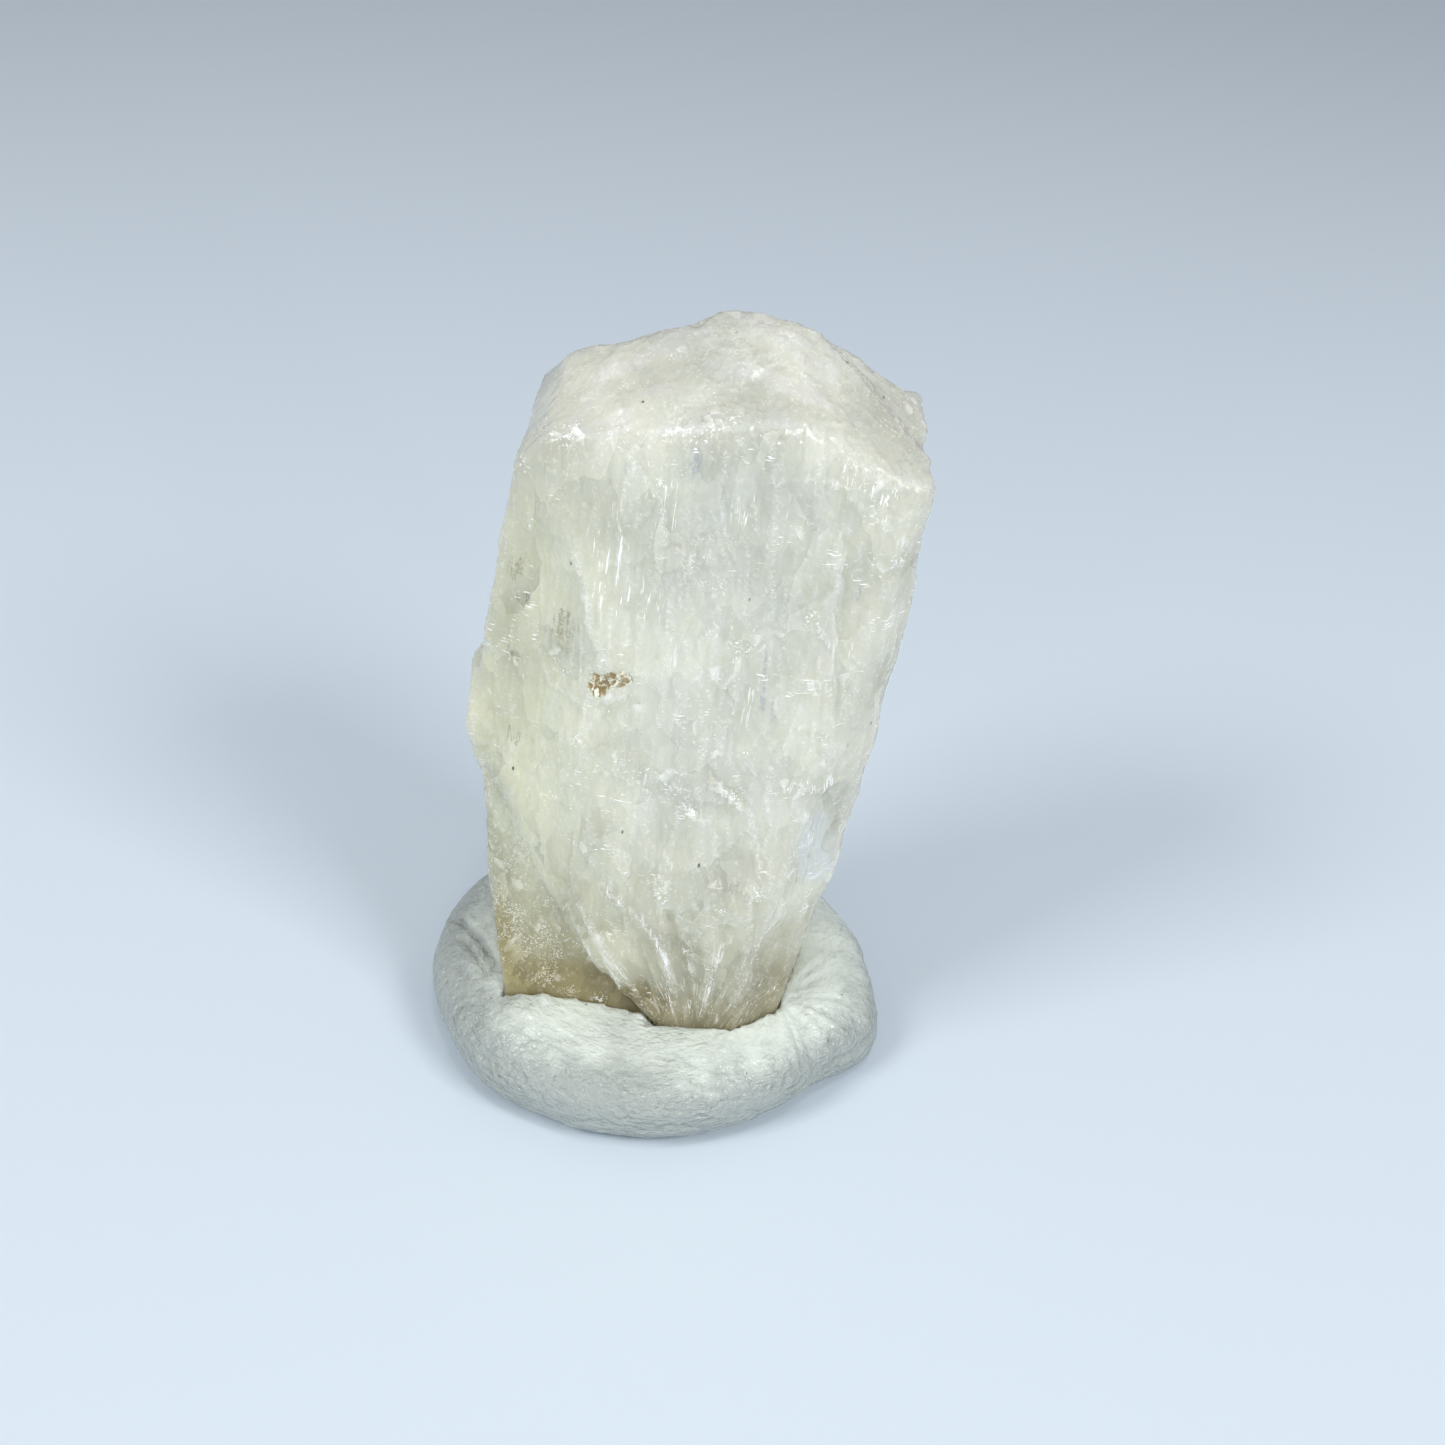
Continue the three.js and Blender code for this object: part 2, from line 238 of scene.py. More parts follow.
@dataclass
class Skin:
    """A mesh as arrays: points in metres, and quads as rows of point numbers.

    Once it is carved, plain holds the points from before.
    """

    points: Array
    faces: Array
    plain: Array | None = None

    def normals(self) -> Array:
        """Unit normals of the points, weighted by face area."""
        corners = self.points[self.faces]
        face = np.cross(corners[:, 2] - corners[:, 0], corners[:, 3] - corners[:, 1])
        total = np.zeros_like(self.points)
        for column in self.faces.T:
            np.add.at(total, column, face)
        return total / (np.linalg.norm(total, axis=1, keepdims=True) + 1e-20)

    def smoothed(self, rounds: int) -> Array:
        """Points after each is moved half way to the middle of its neighbours.

        Args:
            rounds: How many times.

        Returns:
            The new points. The skin keeps its own.
        """
        starts = self.faces.ravel()
        ends = np.roll(self.faces, -1, axis=1).ravel()
        count = np.bincount(np.concatenate([starts, ends]), minlength=len(self.points))
        points = self.points
        for _ in range(rounds):
            total = np.zeros_like(points)
            for axis in range(3):
                total[:, axis] += np.bincount(starts, points[ends, axis], len(points))
                total[:, axis] += np.bincount(ends, points[starts, axis], len(points))
            points = points + (total / count[:, None] - points) * 0.5
        return points

    def crests(self, rounds: int, height: float) -> Array:
        """How far each point stands above its surroundings.

        Args:
            rounds: Width of the surroundings, as rounds of smoothing.
            height: The height that counts as 1.

        Returns:
            -1 in a sharp groove, 0 on a flat and 1 on a sharp crest.
        """
        lift = np.sum((self.points - self.smoothed(rounds)) * self.normals(), axis=1)
        return np.clip(lift / height, -1.0, 1.0)

    def to_object(self, name: str, material: bpy.types.Material, smooth: bool = True) -> bpy.types.Object:
        """A Blender object with this mesh, in the scene.

        Args:
            name: The piece's name.
            material: Its material.
            smooth: Whether its shading is smooth.

        Returns:
            The object.
        """
        mesh = bpy.data.meshes.new(name)
        mesh.from_pydata(self.points.tolist(), [], self.faces.tolist())
        mesh.polygons.foreach_set("use_smooth", [smooth] * len(mesh.polygons))
        mesh.materials.append(material)
        mesh.update()
        return add_object(name, mesh)


def add_object(name: str, data: bpy.types.ID) -> bpy.types.Object:
    """Adds an object to the scene.

    Args:
        name: Its name.
        data: Its mesh, lamp or camera.

    Returns:
        The object.
    """
    added = bpy.data.objects.new(name, data)
    bpy.context.scene.collection.objects.link(added)
    return added


def applied(helper: bpy.types.Object) -> bpy.types.Mesh:
    """Applies an object's modifiers and removes the object.

    Args:
        helper: The object.

    Returns:
        A new mesh.
    """
    mesh = bpy.data.meshes.new_from_object(helper.evaluated_get(bpy.context.evaluated_depsgraph_get()))
    helper.modifiers.clear()
    bpy.data.meshes.remove(helper.data)
    return mesh


def merged_copy(node: str) -> bmesh.types.BMesh:
    """The solid of a CAD node with its loose triangles joined.

    Args:
        node: The node's name.

    Returns:
        A new bmesh, which the caller frees.
    """
    solid = bmesh.new()
    solid.from_mesh(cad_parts[node].data)
    bmesh.ops.remove_doubles(solid, verts=solid.verts, dist=1e-6)
    return solid


def add_attribute(piece: bpy.types.Object, name: str, values: Array) -> None:
    """Gives a piece's points a named number that its material can read.

    Args:
        piece: The piece.
        name: The attribute's name.
        values: One value for each point.
    """
    attribute = piece.data.attributes.new(name, "FLOAT", "POINT")
    attribute.data.foreach_set("value", np.asarray(values, dtype=np.float32))


# ---------- shader maths


Value = "Socket | float"


class Socket:
    """One output of a shader node, with arithmetic that adds Math nodes."""

    def __init__(self, graph: "Nodes", output: bpy.types.NodeSocket) -> None:
        """Wraps an output.

        Args:
            graph: The graph that the output is in.
            output: The output.
        """
        self.graph = graph
        self.output = output

    def beside(self, name: str) -> "Socket":
        """Another output of the same node."""
        return Socket(self.graph, self.output.node.outputs[name])

    def math(self, operation: str, *others: "Value") -> "Socket":
        """A Math node on this value and others."""
        return self.graph.node("ShaderNodeMath", {"operation": operation}, dict(enumerate((self, *others))))

    def __add__(self, other: "Value") -> "Socket":
        """Sum."""
        return self.math("ADD", other)

    __radd__ = __add__

    def __mul__(self, other: "Value") -> "Socket":
        """Product."""
        return self.math("MULTIPLY", other)

    __rmul__ = __mul__

    def __sub__(self, other: "Value") -> "Socket":
        """Difference."""
        return self.math("SUBTRACT", other)

    def __rsub__(self, other: "Value") -> "Socket":
        """Reflected difference."""
        return self.graph.node("ShaderNodeMath", {"operation": "SUBTRACT"}, {0: other, 1: self})

    def __pow__(self, other: "Value") -> "Socket":
        """Power."""
        return self.math("POWER", other)

    def ramp(self, low: float, high: float) -> "Socket":
        """0 at low and 1 at high, smooth between them."""
        if low > high:
            return 1.0 - self.ramp(high, low)
        inputs = {"Value": self, "From Min": low, "From Max": high}
        return self.graph.node("ShaderNodeMapRange", {"interpolation_type": "SMOOTHSTEP"}, inputs)


class Nodes:
    """A node tree, filled by one node-making method."""

    def __init__(self, tree: bpy.types.NodeTree) -> None:
        """Takes the tree that is to be filled."""
        self.tree = tree

    def node(
        self,
        kind: str,
        settings: dict | None = None,
        inputs: dict | None = None,
        output: int | str = 0,
    ) -> Socket:
        """Adds a node.

        Args:
            kind: The node's type.
            settings: Its properties, set first.
            inputs: Numbers, colours, materials or sockets, by the input's name or number.
            output: The output to return.

        Returns:
            That output.
        """
        node = self.tree.nodes.new(kind)
        for key, value in (settings or {}).items():
            setattr(node, key, value)
        for key, value in (inputs or {}).items():
            if isinstance(value, Socket):
                self.tree.links.new(value.output, node.inputs[key])
            else:
                node.inputs[key].default_value = value
        return Socket(self, node.outputs[output])

    def vector(self, operation: str, first: "Socket | tuple", second: "Socket | tuple | float") -> Socket:
        """A Vector Math node; a single number goes in as the scale."""
        is_number = isinstance(second, float) or (isinstance(second, Socket) and operation == "SCALE")
        inputs = {0: first, "Scale" if is_number else 1: second}
        return self.node("ShaderNodeVectorMath", {"operation": operation}, inputs)

    def combine(self, x: "Value", y: "Value", z: "Value") -> Socket:
        """A vector from its parts."""
        return self.node("ShaderNodeCombineXYZ", inputs={0: x, 1: y, 2: z})

    def part(self, vector: Socket, axis: str) -> Socket:
        """The X, Y or Z part of a vector."""
        return self.node("ShaderNodeSeparateXYZ", inputs={0: vector}, output=axis)


class Blending(Enum):
    """How two colours mix."""

    MIX = "MIX"
    MULTIPLY = "MULTIPLY"


class Graph(Nodes):
    """A material's node tree."""

    def __init__(self, name: str) -> None:
        """Makes an empty material with its output.

        Args:
            name: The material's name.
        """
        self.material = bpy.data.materials.new(name)
        self.material.use_nodes = True
        super().__init__(self.material.node_tree)
        self.tree.nodes.clear()
        self.end = self.tree.nodes.new("ShaderNodeOutputMaterial")

    def place_mm(self) -> Socket:
        """The point on the object, in millimetres."""
        place = self.node("ShaderNodeTexCoord", output="Object")
        return self.stretch(place, (1000.0, 1000.0, 1000.0))

    def stretch(self, vector: Socket, scale: Triple) -> Socket:
        """A vector with each part multiplied."""
        return self.vector("MULTIPLY", vector, scale)

    def noise(self, vector: Socket, scale: float, detail: float = 3.0, roughness: float = 0.55) -> Socket:
        """Noise texture, 0 to 1."""
        inputs = {"Vector": vector, "Scale": scale, "Detail": detail, "Roughness": roughness}
        return self.node("ShaderNodeTexNoise", inputs=inputs)

    def cells(self, vector: Socket, scale: float) -> Socket:
        """Distance from the middle of the nearest cell of a cellular pattern."""
        inputs = {"Vector": vector, "Scale": scale}
        return self.node("ShaderNodeTexVoronoi", inputs=inputs, output="Distance")

    def facets(self, vector: Socket) -> Socket:
        """Height of tilted planes, one for each cell of a cellular pattern, about -0.4 to 0.4."""
        centre = self.node("ShaderNodeTexVoronoi", inputs={"Vector": vector, "Scale": 1.0}, output="Position")
        tilt = self.node("ShaderNodeTexWhiteNoise", inputs={"Vector": centre}, output="Color")
        away = self.vector("SUBTRACT", vector, centre)
        leaning = self.vector("SUBTRACT", tilt, (0.5, 0.5, 0.5))
        return self.vector("DOT_PRODUCT", away, leaning).beside("Value")

    def attribute(self, name: str) -> Socket:
        """A number carried by the mesh's points."""
        return self.node("ShaderNodeAttribute", {"attribute_name": name}, output="Fac")

    def blend(
        self,
        share: "Value",
        first: "Socket | tuple",
        second: "Socket | tuple",
        mode: Blending = Blending.MIX,
    ) -> Socket:
        """Two colours mixed.

        Args:
            share: How much of the second.
            first: A colour.
            second: Another.
            mode: How they mix.

        Returns:
            The mixed colour.
        """
        settings = {"data_type": "RGBA", "blend_type": mode.value}
        return self.node("ShaderNodeMix", settings, {0: share, 6: first, 7: second}, output=2)

    def layered(self, colour: Socket, *layers: "tuple[Value, Socket | tuple]") -> Socket:
        """A colour with others laid over it.

        Args:
            colour: The colour below.
            layers: The share and the colour of each layer, the lowest first.

        Returns:
            The colour that shows.
        """
        for share, layer in layers:
            colour = self.blend(share, colour, layer)
        return colour

    def strongest(self, first: Socket, *others: "Value") -> Socket:
        """The highest of several values."""
        for other in others:
            first = first.math("MAXIMUM", other)
        return first

    def bump(self, height: Socket, distance: float) -> Socket:
        """A normal tilted by a height.

        Args:
            height: The height, 0 to 1.
            distance: What a height of 1 stands for, in metres.

        Returns:
            The normal.
        """
        inputs = {"Height": height, "Distance": distance, "Strength": 1.0}
        return self.node("ShaderNodeBump", inputs=inputs)

    def principled(self, inputs: dict) -> Socket:
        """A Principled BSDF."""
        return self.node("ShaderNodeBsdfPrincipled", inputs=inputs)

    def finish(self, surface: Socket) -> bpy.types.Material:
        """Links the surface and returns the material."""
        self.tree.links.new(surface.output, self.end.inputs["Surface"])
        return self.material


def rgba(red: float, green: float, blue: float) -> tuple[float, float, float, float]:
    """A linear colour with full alpha, from sRGB parts of 0 to 255."""
    linear = [(part / 255) ** 2.2 for part in (red, green, blue)]
    return (*linear, 1.0)


# ---------- finishes


ZONE_NAMES = (
    "stain", "straw", "speck", "olive", "smoke", "frost", "dashed", "painted_glints", "crest", "groove",
    "window", "arc", "curd", "crown", "painted_reflection",
)


class CrystalPatterns:
    """The noises, cells and zones that the crystal's finish is mixed from."""

    def __init__(self, graph: Graph) -> None:
        """Adds them to a graph.

        Args:
            graph: The material's graph.
        """
        self.place = graph.place_mm()
        through = graph.part(self.place, "Y")
        self.flow = graph.combine(graph.attribute("across"), through, graph.attribute("along"))
        self.zone = {name: graph.attribute(name) for name in ZONE_NAMES}
        self.mottle = graph.noise(graph.stretch(self.flow, (0.9, 0.9, 0.5)), 1.0, 2.0, 0.6)
        self.fibre = graph.noise(graph.stretch(self.flow, (6.0, 6.0, 0.45)), 1.0, 2.0, 0.75)
        self.dash = graph.noise(graph.stretch(self.flow, (1.4, 1.4, 9.0)), 1.0, 2.0, 0.6)
        self.grain = graph.noise(self.place, 6.0, 2.0, 0.8)
        bend = graph.stretch(self.mottle, (0.8, 0.5, 0.4))
        bent = graph.vector("ADD", graph.stretch(self.flow, (0.6, 0.6, 0.3)), bend)
        self.sheets = graph.facets(bent) * (1.0 - self.zone["crown"] * 0.6)
        self.shards = graph.facets(graph.stretch(self.flow, (1.3, 1.3, 0.8)))
        self.splinters = graph.facets(graph.stretch(self.flow, (3.2, 3.2, 1.9)))
        self.crowd = (self.mottle - 0.5) * 0.4
        self.ragged = (self.grain - 0.5) * 2.0 + (self.fibre - 0.5) * 2.0


@dataclass(frozen=True)
class CrystalFinish:
    """Milky scapolite: cloudy white with clear windows, fibres, frost on its breaks and stains, and with
    painted glints, a painted reflection, painted light on the crown and painted shade in the grooves.
    """

    milk: tuple = rgba(240, 239, 220)
    haze: tuple = rgba(231, 231, 217)
    frost_and_top_light: tuple = rgba(243, 245, 231)
    white_and_glint: tuple = rgba(255, 255, 253)
    straw: tuple = rgba(251, 251, 204)
    brown: tuple = rgba(196, 184, 152)
    rust: tuple = rgba(146, 125, 80)
    olive: tuple = rgba(158, 152, 112)
    smoke: tuple = rgba(168, 176, 188)
    soot: tuple = rgba(40, 38, 34)
    painted_reflection: tuple = rgba(238, 246, 255)
    glass: tuple = rgba(250, 250, 243)
    refraction: float = 1.55
    roughness: float = 0.11
    smoothest: float = 0.05
    scatter_depth: float = 2.6 * MM
    relief_depth: float = 0.06 * MM

    def cloudy(self, graph: Graph, seen: CrystalPatterns) -> Socket:
        """The milky colour of unmarked crystal, with painted light on the crown's top faces and painted shade
        in the grooves.

        Args:
            graph: The material's graph.
            seen: Its patterns.

        Returns:
            The colour.
        """
        zone, fibre, grain = seen.zone, seen.fibre, seen.grain
        body = graph.blend((seen.mottle * 0.8 + seen.sheets * 0.5).ramp(0.12, 0.70), self.haze, self.milk)
        return graph.layered(
            body,
            # The crown's upward faces are painted paler: part frost, part painted light on the tops.
            (zone["crown"] * 0.7, self.frost_and_top_light),
            (fibre.ramp(0.48, 0.28) * 0.35, self.haze),
            (grain.ramp(0.45, 0.20) * 0.35, self.haze),
            (fibre.ramp(0.52, 0.70) * 0.25, self.white_and_glint),
            (grain.ramp(0.52, 0.75) * 0.25, self.white_and_glint),
            # Painted shade in the grooves, where the skin lies below its surroundings.
            (zone["groove"] * 0.15, self.smoke),
            (zone["arc"].ramp(0.55, 0.85) * 0.3, self.white_and_glint),
            (zone["arc"].ramp(0.45, 0.15) * 0.3, self.haze),
            (zone["straw"] * 0.5, self.straw),
        )

    @staticmethod
    def marks_and_glints(graph: Graph, seen: CrystalPatterns) -> Socket:
        """Share of white flecks and painted glints: the dashes and frost, which are partly painted glints,
        the painted glints themselves, painted highlights on crests and on shards, and the break's curd.

        Args:
            graph: The material's graph.
            seen: Its patterns.

        Returns:
            The share.
        """
        zone, fibre, grain, crowd = seen.zone, seen.fibre, seen.grain, seen.crowd
        clustered = (crowd * 2.5 + zone["painted_glints"] + zone["dashed"] * 0.3).ramp(0.2, 0.7)
        beads = graph.cells(seen.place, 8.5)
        curdled = (zone["curd"] + (grain - 0.5) * 2.0).ramp(0.35, 0.9) * 0.6
        return graph.strongest(
            (seen.dash + crowd).ramp(0.66, 0.69) * zone["dashed"],
            (fibre + crowd).ramp(0.61, 0.66) * zone["frost"] * 0.85,
            # Painted glints: white dots where glints are painted.
            (grain + crowd).ramp(0.62, 0.68) * zone["painted_glints"] * 0.9,
            # Painted highlights on the skin's crests, and along one edge of each tilted shard.
            zone["crest"] * grain.ramp(0.44, 0.60) * 0.4,
            seen.shards.ramp(0.13, 0.30) * (0.1 + grain) * clustered * 0.65,
            beads.ramp(0.46, 0.22) * curdled,
        )

    @staticmethod
    def relief(seen: CrystalPatterns) -> Socket:
        """Height of the fine relief, in shares of the relief's depth."""
        painted_glints = seen.zone["painted_glints"]
        fine = seen.fibre * 0.3 + seen.grain * (0.12 + 0.4 * painted_glints)
        return fine + seen.splinters * (1.2 + 2.0 * painted_glints) + seen.shards * 1.5 + seen.sheets * 2.5

    def make(self) -> bpy.types.Material:
        """The crystal's material."""
        graph = Graph("milky scapolite")
        seen = CrystalPatterns(graph)
        zone, grain, ragged = seen.zone, seen.grain, seen.ragged
        marks_and_glints = self.marks_and_glints(graph, seen)
        tint = (zone["stain"] * (0.6 + grain * 0.8)).ramp(0.0, 1.0)
        pit = graph.blend((grain + seen.splinters).ramp(0.40, 0.72), self.rust, self.milk)
        pitted = (zone["speck"] + ragged).ramp(0.42, 0.57) * zone["speck"].ramp(0.02, 0.3)
        dots = graph.cells(graph.stretch(seen.flow, (0.55, 0.55, 0.28)), 1.0)

        body = self.cloudy(graph, seen)
        stained = graph.blend(1.0, body, self.brown, Blending.MULTIPLY)
        body = graph.layered(
            body,
            (tint, stained),
            ((zone["smoke"] + ragged).ramp(0.5, 1.1) * 0.6, self.smoke),
            # A painted reflection: a bluish-white streaked patch where a glossy facet would mirror the light.
            (zone["painted_reflection"] * (0.3 + seen.fibre.ramp(0.42, 0.58) * 0.7), self.painted_reflection),
            # White flecks, and glints painted in white.
            (marks_and_glints, self.white_and_glint),
            ((zone["olive"] + ragged * 1.4).ramp(0.75, 1.25) * 0.65, self.olive),
            (pitted, pit),
            ((dots - (grain - 0.5) * 0.06).ramp(0.045, 0.025) * 0.9, self.soot),
        )

        normal = graph.bump(self.relief(seen), self.relief_depth)
        roughness = (self.roughness + seen.crowd - zone["painted_reflection"] * 0.06).math("MAXIMUM", self.smoothest)
        milky = graph.principled(
            {
                "Base Color": body,
                "Roughness": roughness,
                "IOR": self.refraction,
                "Subsurface Weight": 0.8,
                "Subsurface Radius": (1.0, 0.95, 0.8),
                "Subsurface Scale": self.scatter_depth,
                "Normal": normal,
            }
        )
        clear = graph.principled(
            {
                "Base Color": graph.blend(tint, self.glass, self.brown),
                "Roughness": roughness * 0.3,
                "IOR": self.refraction,
                "Transmission Weight": 1.0,
                "Normal": normal,
            }
        )
        window = (zone["window"] + seen.sheets * 0.3) * (1.0 - marks_and_glints.math("MAXIMUM", pitted))
        shaders = {0: window.math("MAXIMUM", 0.0), 1: milky, 2: clear}
        return graph.finish(graph.node("ShaderNodeMixShader", inputs=shaders))


@dataclass(frozen=True)
class PuttyFinish:
    """White mounting putty: satin, faintly green-grey, with a pitted skin and dust specks, painted darker low
    down and paler on top as painted shade and light.
    """

    # colour is the painted-shade colour of the lower putty, and pale the painted-light colour of its top.
    colour: tuple = rgba(165, 172, 169)
    pale: tuple = rgba(221, 229, 222)
    dust: tuple = rgba(96, 98, 92)
    roughness: float = 0.16
    relief_depth: float = 0.2 * MM

    def make(self) -> bpy.types.Material:
        """The putty's material."""
        graph = Graph("white putty")
        place = graph.place_mm()
        tone = graph.noise(place, 0.5, 3.0, 0.6)
        x, y, z = (graph.part(place, axis) for axis in "XYZ")
        reach = (x * x + y * y) ** 0.5
        along = graph.combine(y.math("ARCTAN2", x) * 13.0, reach * 3.0, z * 3.0)
        wrinkles = graph.noise(along, 1.0, 2.0, 0.6)
        worked = graph.noise(place, 0.3, 1.0).ramp(0.40, 0.62)
        pits = graph.noise(place, 2.6, 2.0, 0.6)
        # Painted light and shade: paler higher up and a little towards the right, darker low down; the same
        # share smooths the relief on top.
        painted_top_light = (z + x * 0.05 + (tone - 0.5) * 2.0).ramp(3.7, 5.5)
        body = graph.blend(painted_top_light, self.colour, self.pale)
        body = graph.blend(graph.cells(place, 0.55).ramp(0.05, 0.03) * 0.8, body, self.dust)
        relief = wrinkles * (0.5 + worked * 0.9) * (1.2 - painted_top_light * 0.5) + pits * (1.1 - painted_top_light * 0.7)
        surface = graph.principled(
            {
                "Base Color": body,
                "Roughness": self.roughness + (tone - 0.5) * 0.3,
                "IOR": 1.5,
                "Subsurface Weight": 0.25,
                "Subsurface Radius": (1.0, 0.9, 0.8),
                "Subsurface Scale": 0.5 * MM,
                "Normal": graph.bump(relief, self.relief_depth),
            }
        )
        return graph.finish(surface)


@dataclass(frozen=True)
class VeilFinish:
    """The white film of a healed fracture inside the crystal."""

    colour: tuple = rgba(250, 252, 250)

    def make(self) -> bpy.types.Material:
        """The veils' material."""
        graph = Graph("inner veil")
        wisp = graph.noise(graph.place_mm(), 2.2, 5.0, 0.7)
        inputs = {"Base Color": self.colour, "Roughness": 0.35, "Alpha": wisp.ramp(0.42, 0.66)}
        return graph.finish(graph.principled(inputs))


@dataclass(frozen=True)
class FloorFinish:
    """Plain pale floor."""

    colour: tuple = rgba(212, 225, 237)

    def make(self) -> bpy.types.Material:
        """The floor's material."""
        graph = Graph("pale floor")
        return graph.finish(graph.principled({"Base Color": self.colour, "Roughness": 0.55}))


# ---------- the crystal


@dataclass(frozen=True)
class Scoop:
    """A shell-shaped fracture: a shallow oval dish with a crisp rim. Sizes in millimetres."""

    centre: Triple
    width: float
    height: float
    depth: float
    lean: float = 0.0
    facing: Triple = (0.0, -1.0, 0.05)
    slant: float = 0.0

    def cut(self, at: Array, normal: Array) -> Array:
        """How deep the dish is below each point.

        Args:
            at: The points, in millimetres.
            normal: Their normals.

        Returns:
            The depths, in millimetres.
        """
        out = np.array(self.facing) / np.linalg.norm(self.facing)
        level = np.cross((0.0, 0.0, 1.0), out)
        level /= np.linalg.norm(level) + 1e-9
        rise = np.cross(out, level)
        turn = math.radians(self.lean)
        across = level * math.cos(turn) + rise * math.sin(turn)
        along = rise * math.cos(turn) - level * math.sin(turn)
        away = at - np.array(self.centre)
        u, v = away @ across / self.width, away @ along / self.height
        dish = np.clip(1 - u**2 - v**2, 0, 1) * (1 + self.slant * u)
        near = ramp(np.abs(away @ out), 2.6, 1.6) * ramp(normal @ out, 0.25, 0.5)
        return self.depth * dish * near


PLACED_SCOOPS = (
    Scoop((-5.0, -6.3, 28.2), 1.45, 5.6, 0.26, 3.0, slant=0.5),
    Scoop((-6.2, -5.6, 23.5), 1.3, 4.2, 0.16, -8.0),
    Scoop((-2.2, -6.7, 21.2), 1.75, 4.6, 0.20, -6.0, slant=-0.5),
    Scoop((0.9, -6.8, 18.4), 1.5, 2.9, 0.22, 4.0, slant=-0.4),
    Scoop((4.0, -6.8, 17.8), 1.9, 4.4, 0.16, 10.0),
    Scoop((-2.9, -6.8, 12.6), 1.1, 4.2, 0.20, 24.0, slant=0.6),
    Scoop((-0.6, -7.0, 9.4), 1.15, 4.2, 0.26, 22.0, slant=0.6),
    Scoop((1.9, -7.0, 8.8), 1.0, 3.6, 0.24, 6.0),
    Scoop((4.1, -7.0, 8.4), 0.75, 2.8, 0.22, -8.0),
    Scoop((6.0, -6.8, 9.2), 1.1, 3.2, 0.24, -22.0, slant=-0.4),
    Scoop((8.2, -5.8, 16.0), 0.95, 2.9, 0.18, -14.0, (0.45, -1.0, -0.1)),
    Scoop((8.6, -6.0, 29.0), 1.5, 4.5, 0.14, -4.0, (0.3, -1.0, 0.0)),
    Scoop((9.9, -5.7, 36.6), 1.0, 1.2, 0.2, 20.0, (0.4, -1.0, 0.3)),
    Scoop((1.6, -6.4, 33.0), 2.0, 5.0, 0.10, 2.0),
    Scoop((5.6, -6.5, 31.5), 1.6, 5.5, 0.11, -3.0),
    Scoop((-1.8, -6.5, 31.2), 1.3, 4.4, 0.10, 1.0),
)


# Edges of inner sheets that show on the front, with their points as x and z. The last two are low ridges
# painted white as glints along the crown's right brow.
SHEET_EDGES = (
    BentLine(((-3.9, 12.6), (-2.1, 8.7), (-1.5, 6.2)), 0.16, 0.22, 0.8),
    BentLine(((-2.8, 14.0), (-0.9, 12.1), (0.4, 10.3), (1.1, 7.1)), 0.18, 0.25, 1.0),
    BentLine(((1.9, 9.6), (2.1, 7.4), (1.9, 5.8)), 0.12, 0.16, 1.0),
    BentLine(((3.6, 10.6), (3.2, 8.5), (3.0, 6.0)), 0.20, 0.20, 1.3),
    BentLine(((5.6, 10.4), (5.1, 8.6), (4.4, 6.6)), 0.14, 0.18, 1.0),
    BentLine(((-4.9, 12.9), (-3.4, 9.4), (-2.6, 7.6)), 0.10, 0.18, 0.7),
    BentLine(((-4.3, 32.7), (-3.6, 30.8), (-3.7, 29.3)), 0.10, 0.20, 0.5),
    BentLine(((-3.8, 30.5), (-3.3, 28.6), (-2.9, 26.8)), 0.12, 0.22, 0.5),
    BentLine(((-6.1, 27.0), (-5.6, 25.2), (-4.2, 24.8)), 0.10, 0.22, 0.4),
    BentLine(((-0.6, 21.2), (0.4, 20.8), (1.3, 19.9)), 0.14, 0.20, 1.2),
    BentLine(((2.6, 20.6), (3.5, 20.1), (4.0, 19.2)), 0.12, 0.20, 1.1),
    BentLine(((6.9, 20.9), (8.2, 20.3), (9.0, 20.6)), 0.12, 0.22, 1.1),
    BentLine(((7.4, 18.9), (7.9, 16.9), (7.6, 14.6)), 0.14, 0.24, 0.9),
    BentLine(((4.4, 37.0), (6.2, 37.3), (7.7, 37.0)), 0.06, 0.18, 0.6),
    BentLine(((7.9, 36.4), (9.6, 35.2), (10.8, 33.9)), 0.08, 0.20, 0.6),
)


@dataclass(frozen=True)
class Spot:
    """An oval place on the front, sized in millimetres, with its lean in degrees."""

    x: float
    z: float
    width: float
    height: float
    lean: float = 0.0
    amount: float = 1.0

    def cover(self, at: Array) -> Array:
        """Its amount at its middle, falling to 0 at its rim.

        Args:
            at: The points, in millimetres.

        Returns:
            One value for each point.
        """
        x, y, z = at.T
        turn = math.radians(self.lean)
        u = (x - self.x) * math.cos(turn) + (z - self.z) * math.sin(turn)
        v = (z - self.z) * math.cos(turn) - (x - self.x) * math.sin(turn)
        away = (u / self.width) ** 2 + (v / self.height) ** 2
        return self.amount * ramp(away, 1.6, 0.1) * ramp(-y, *FRONT)


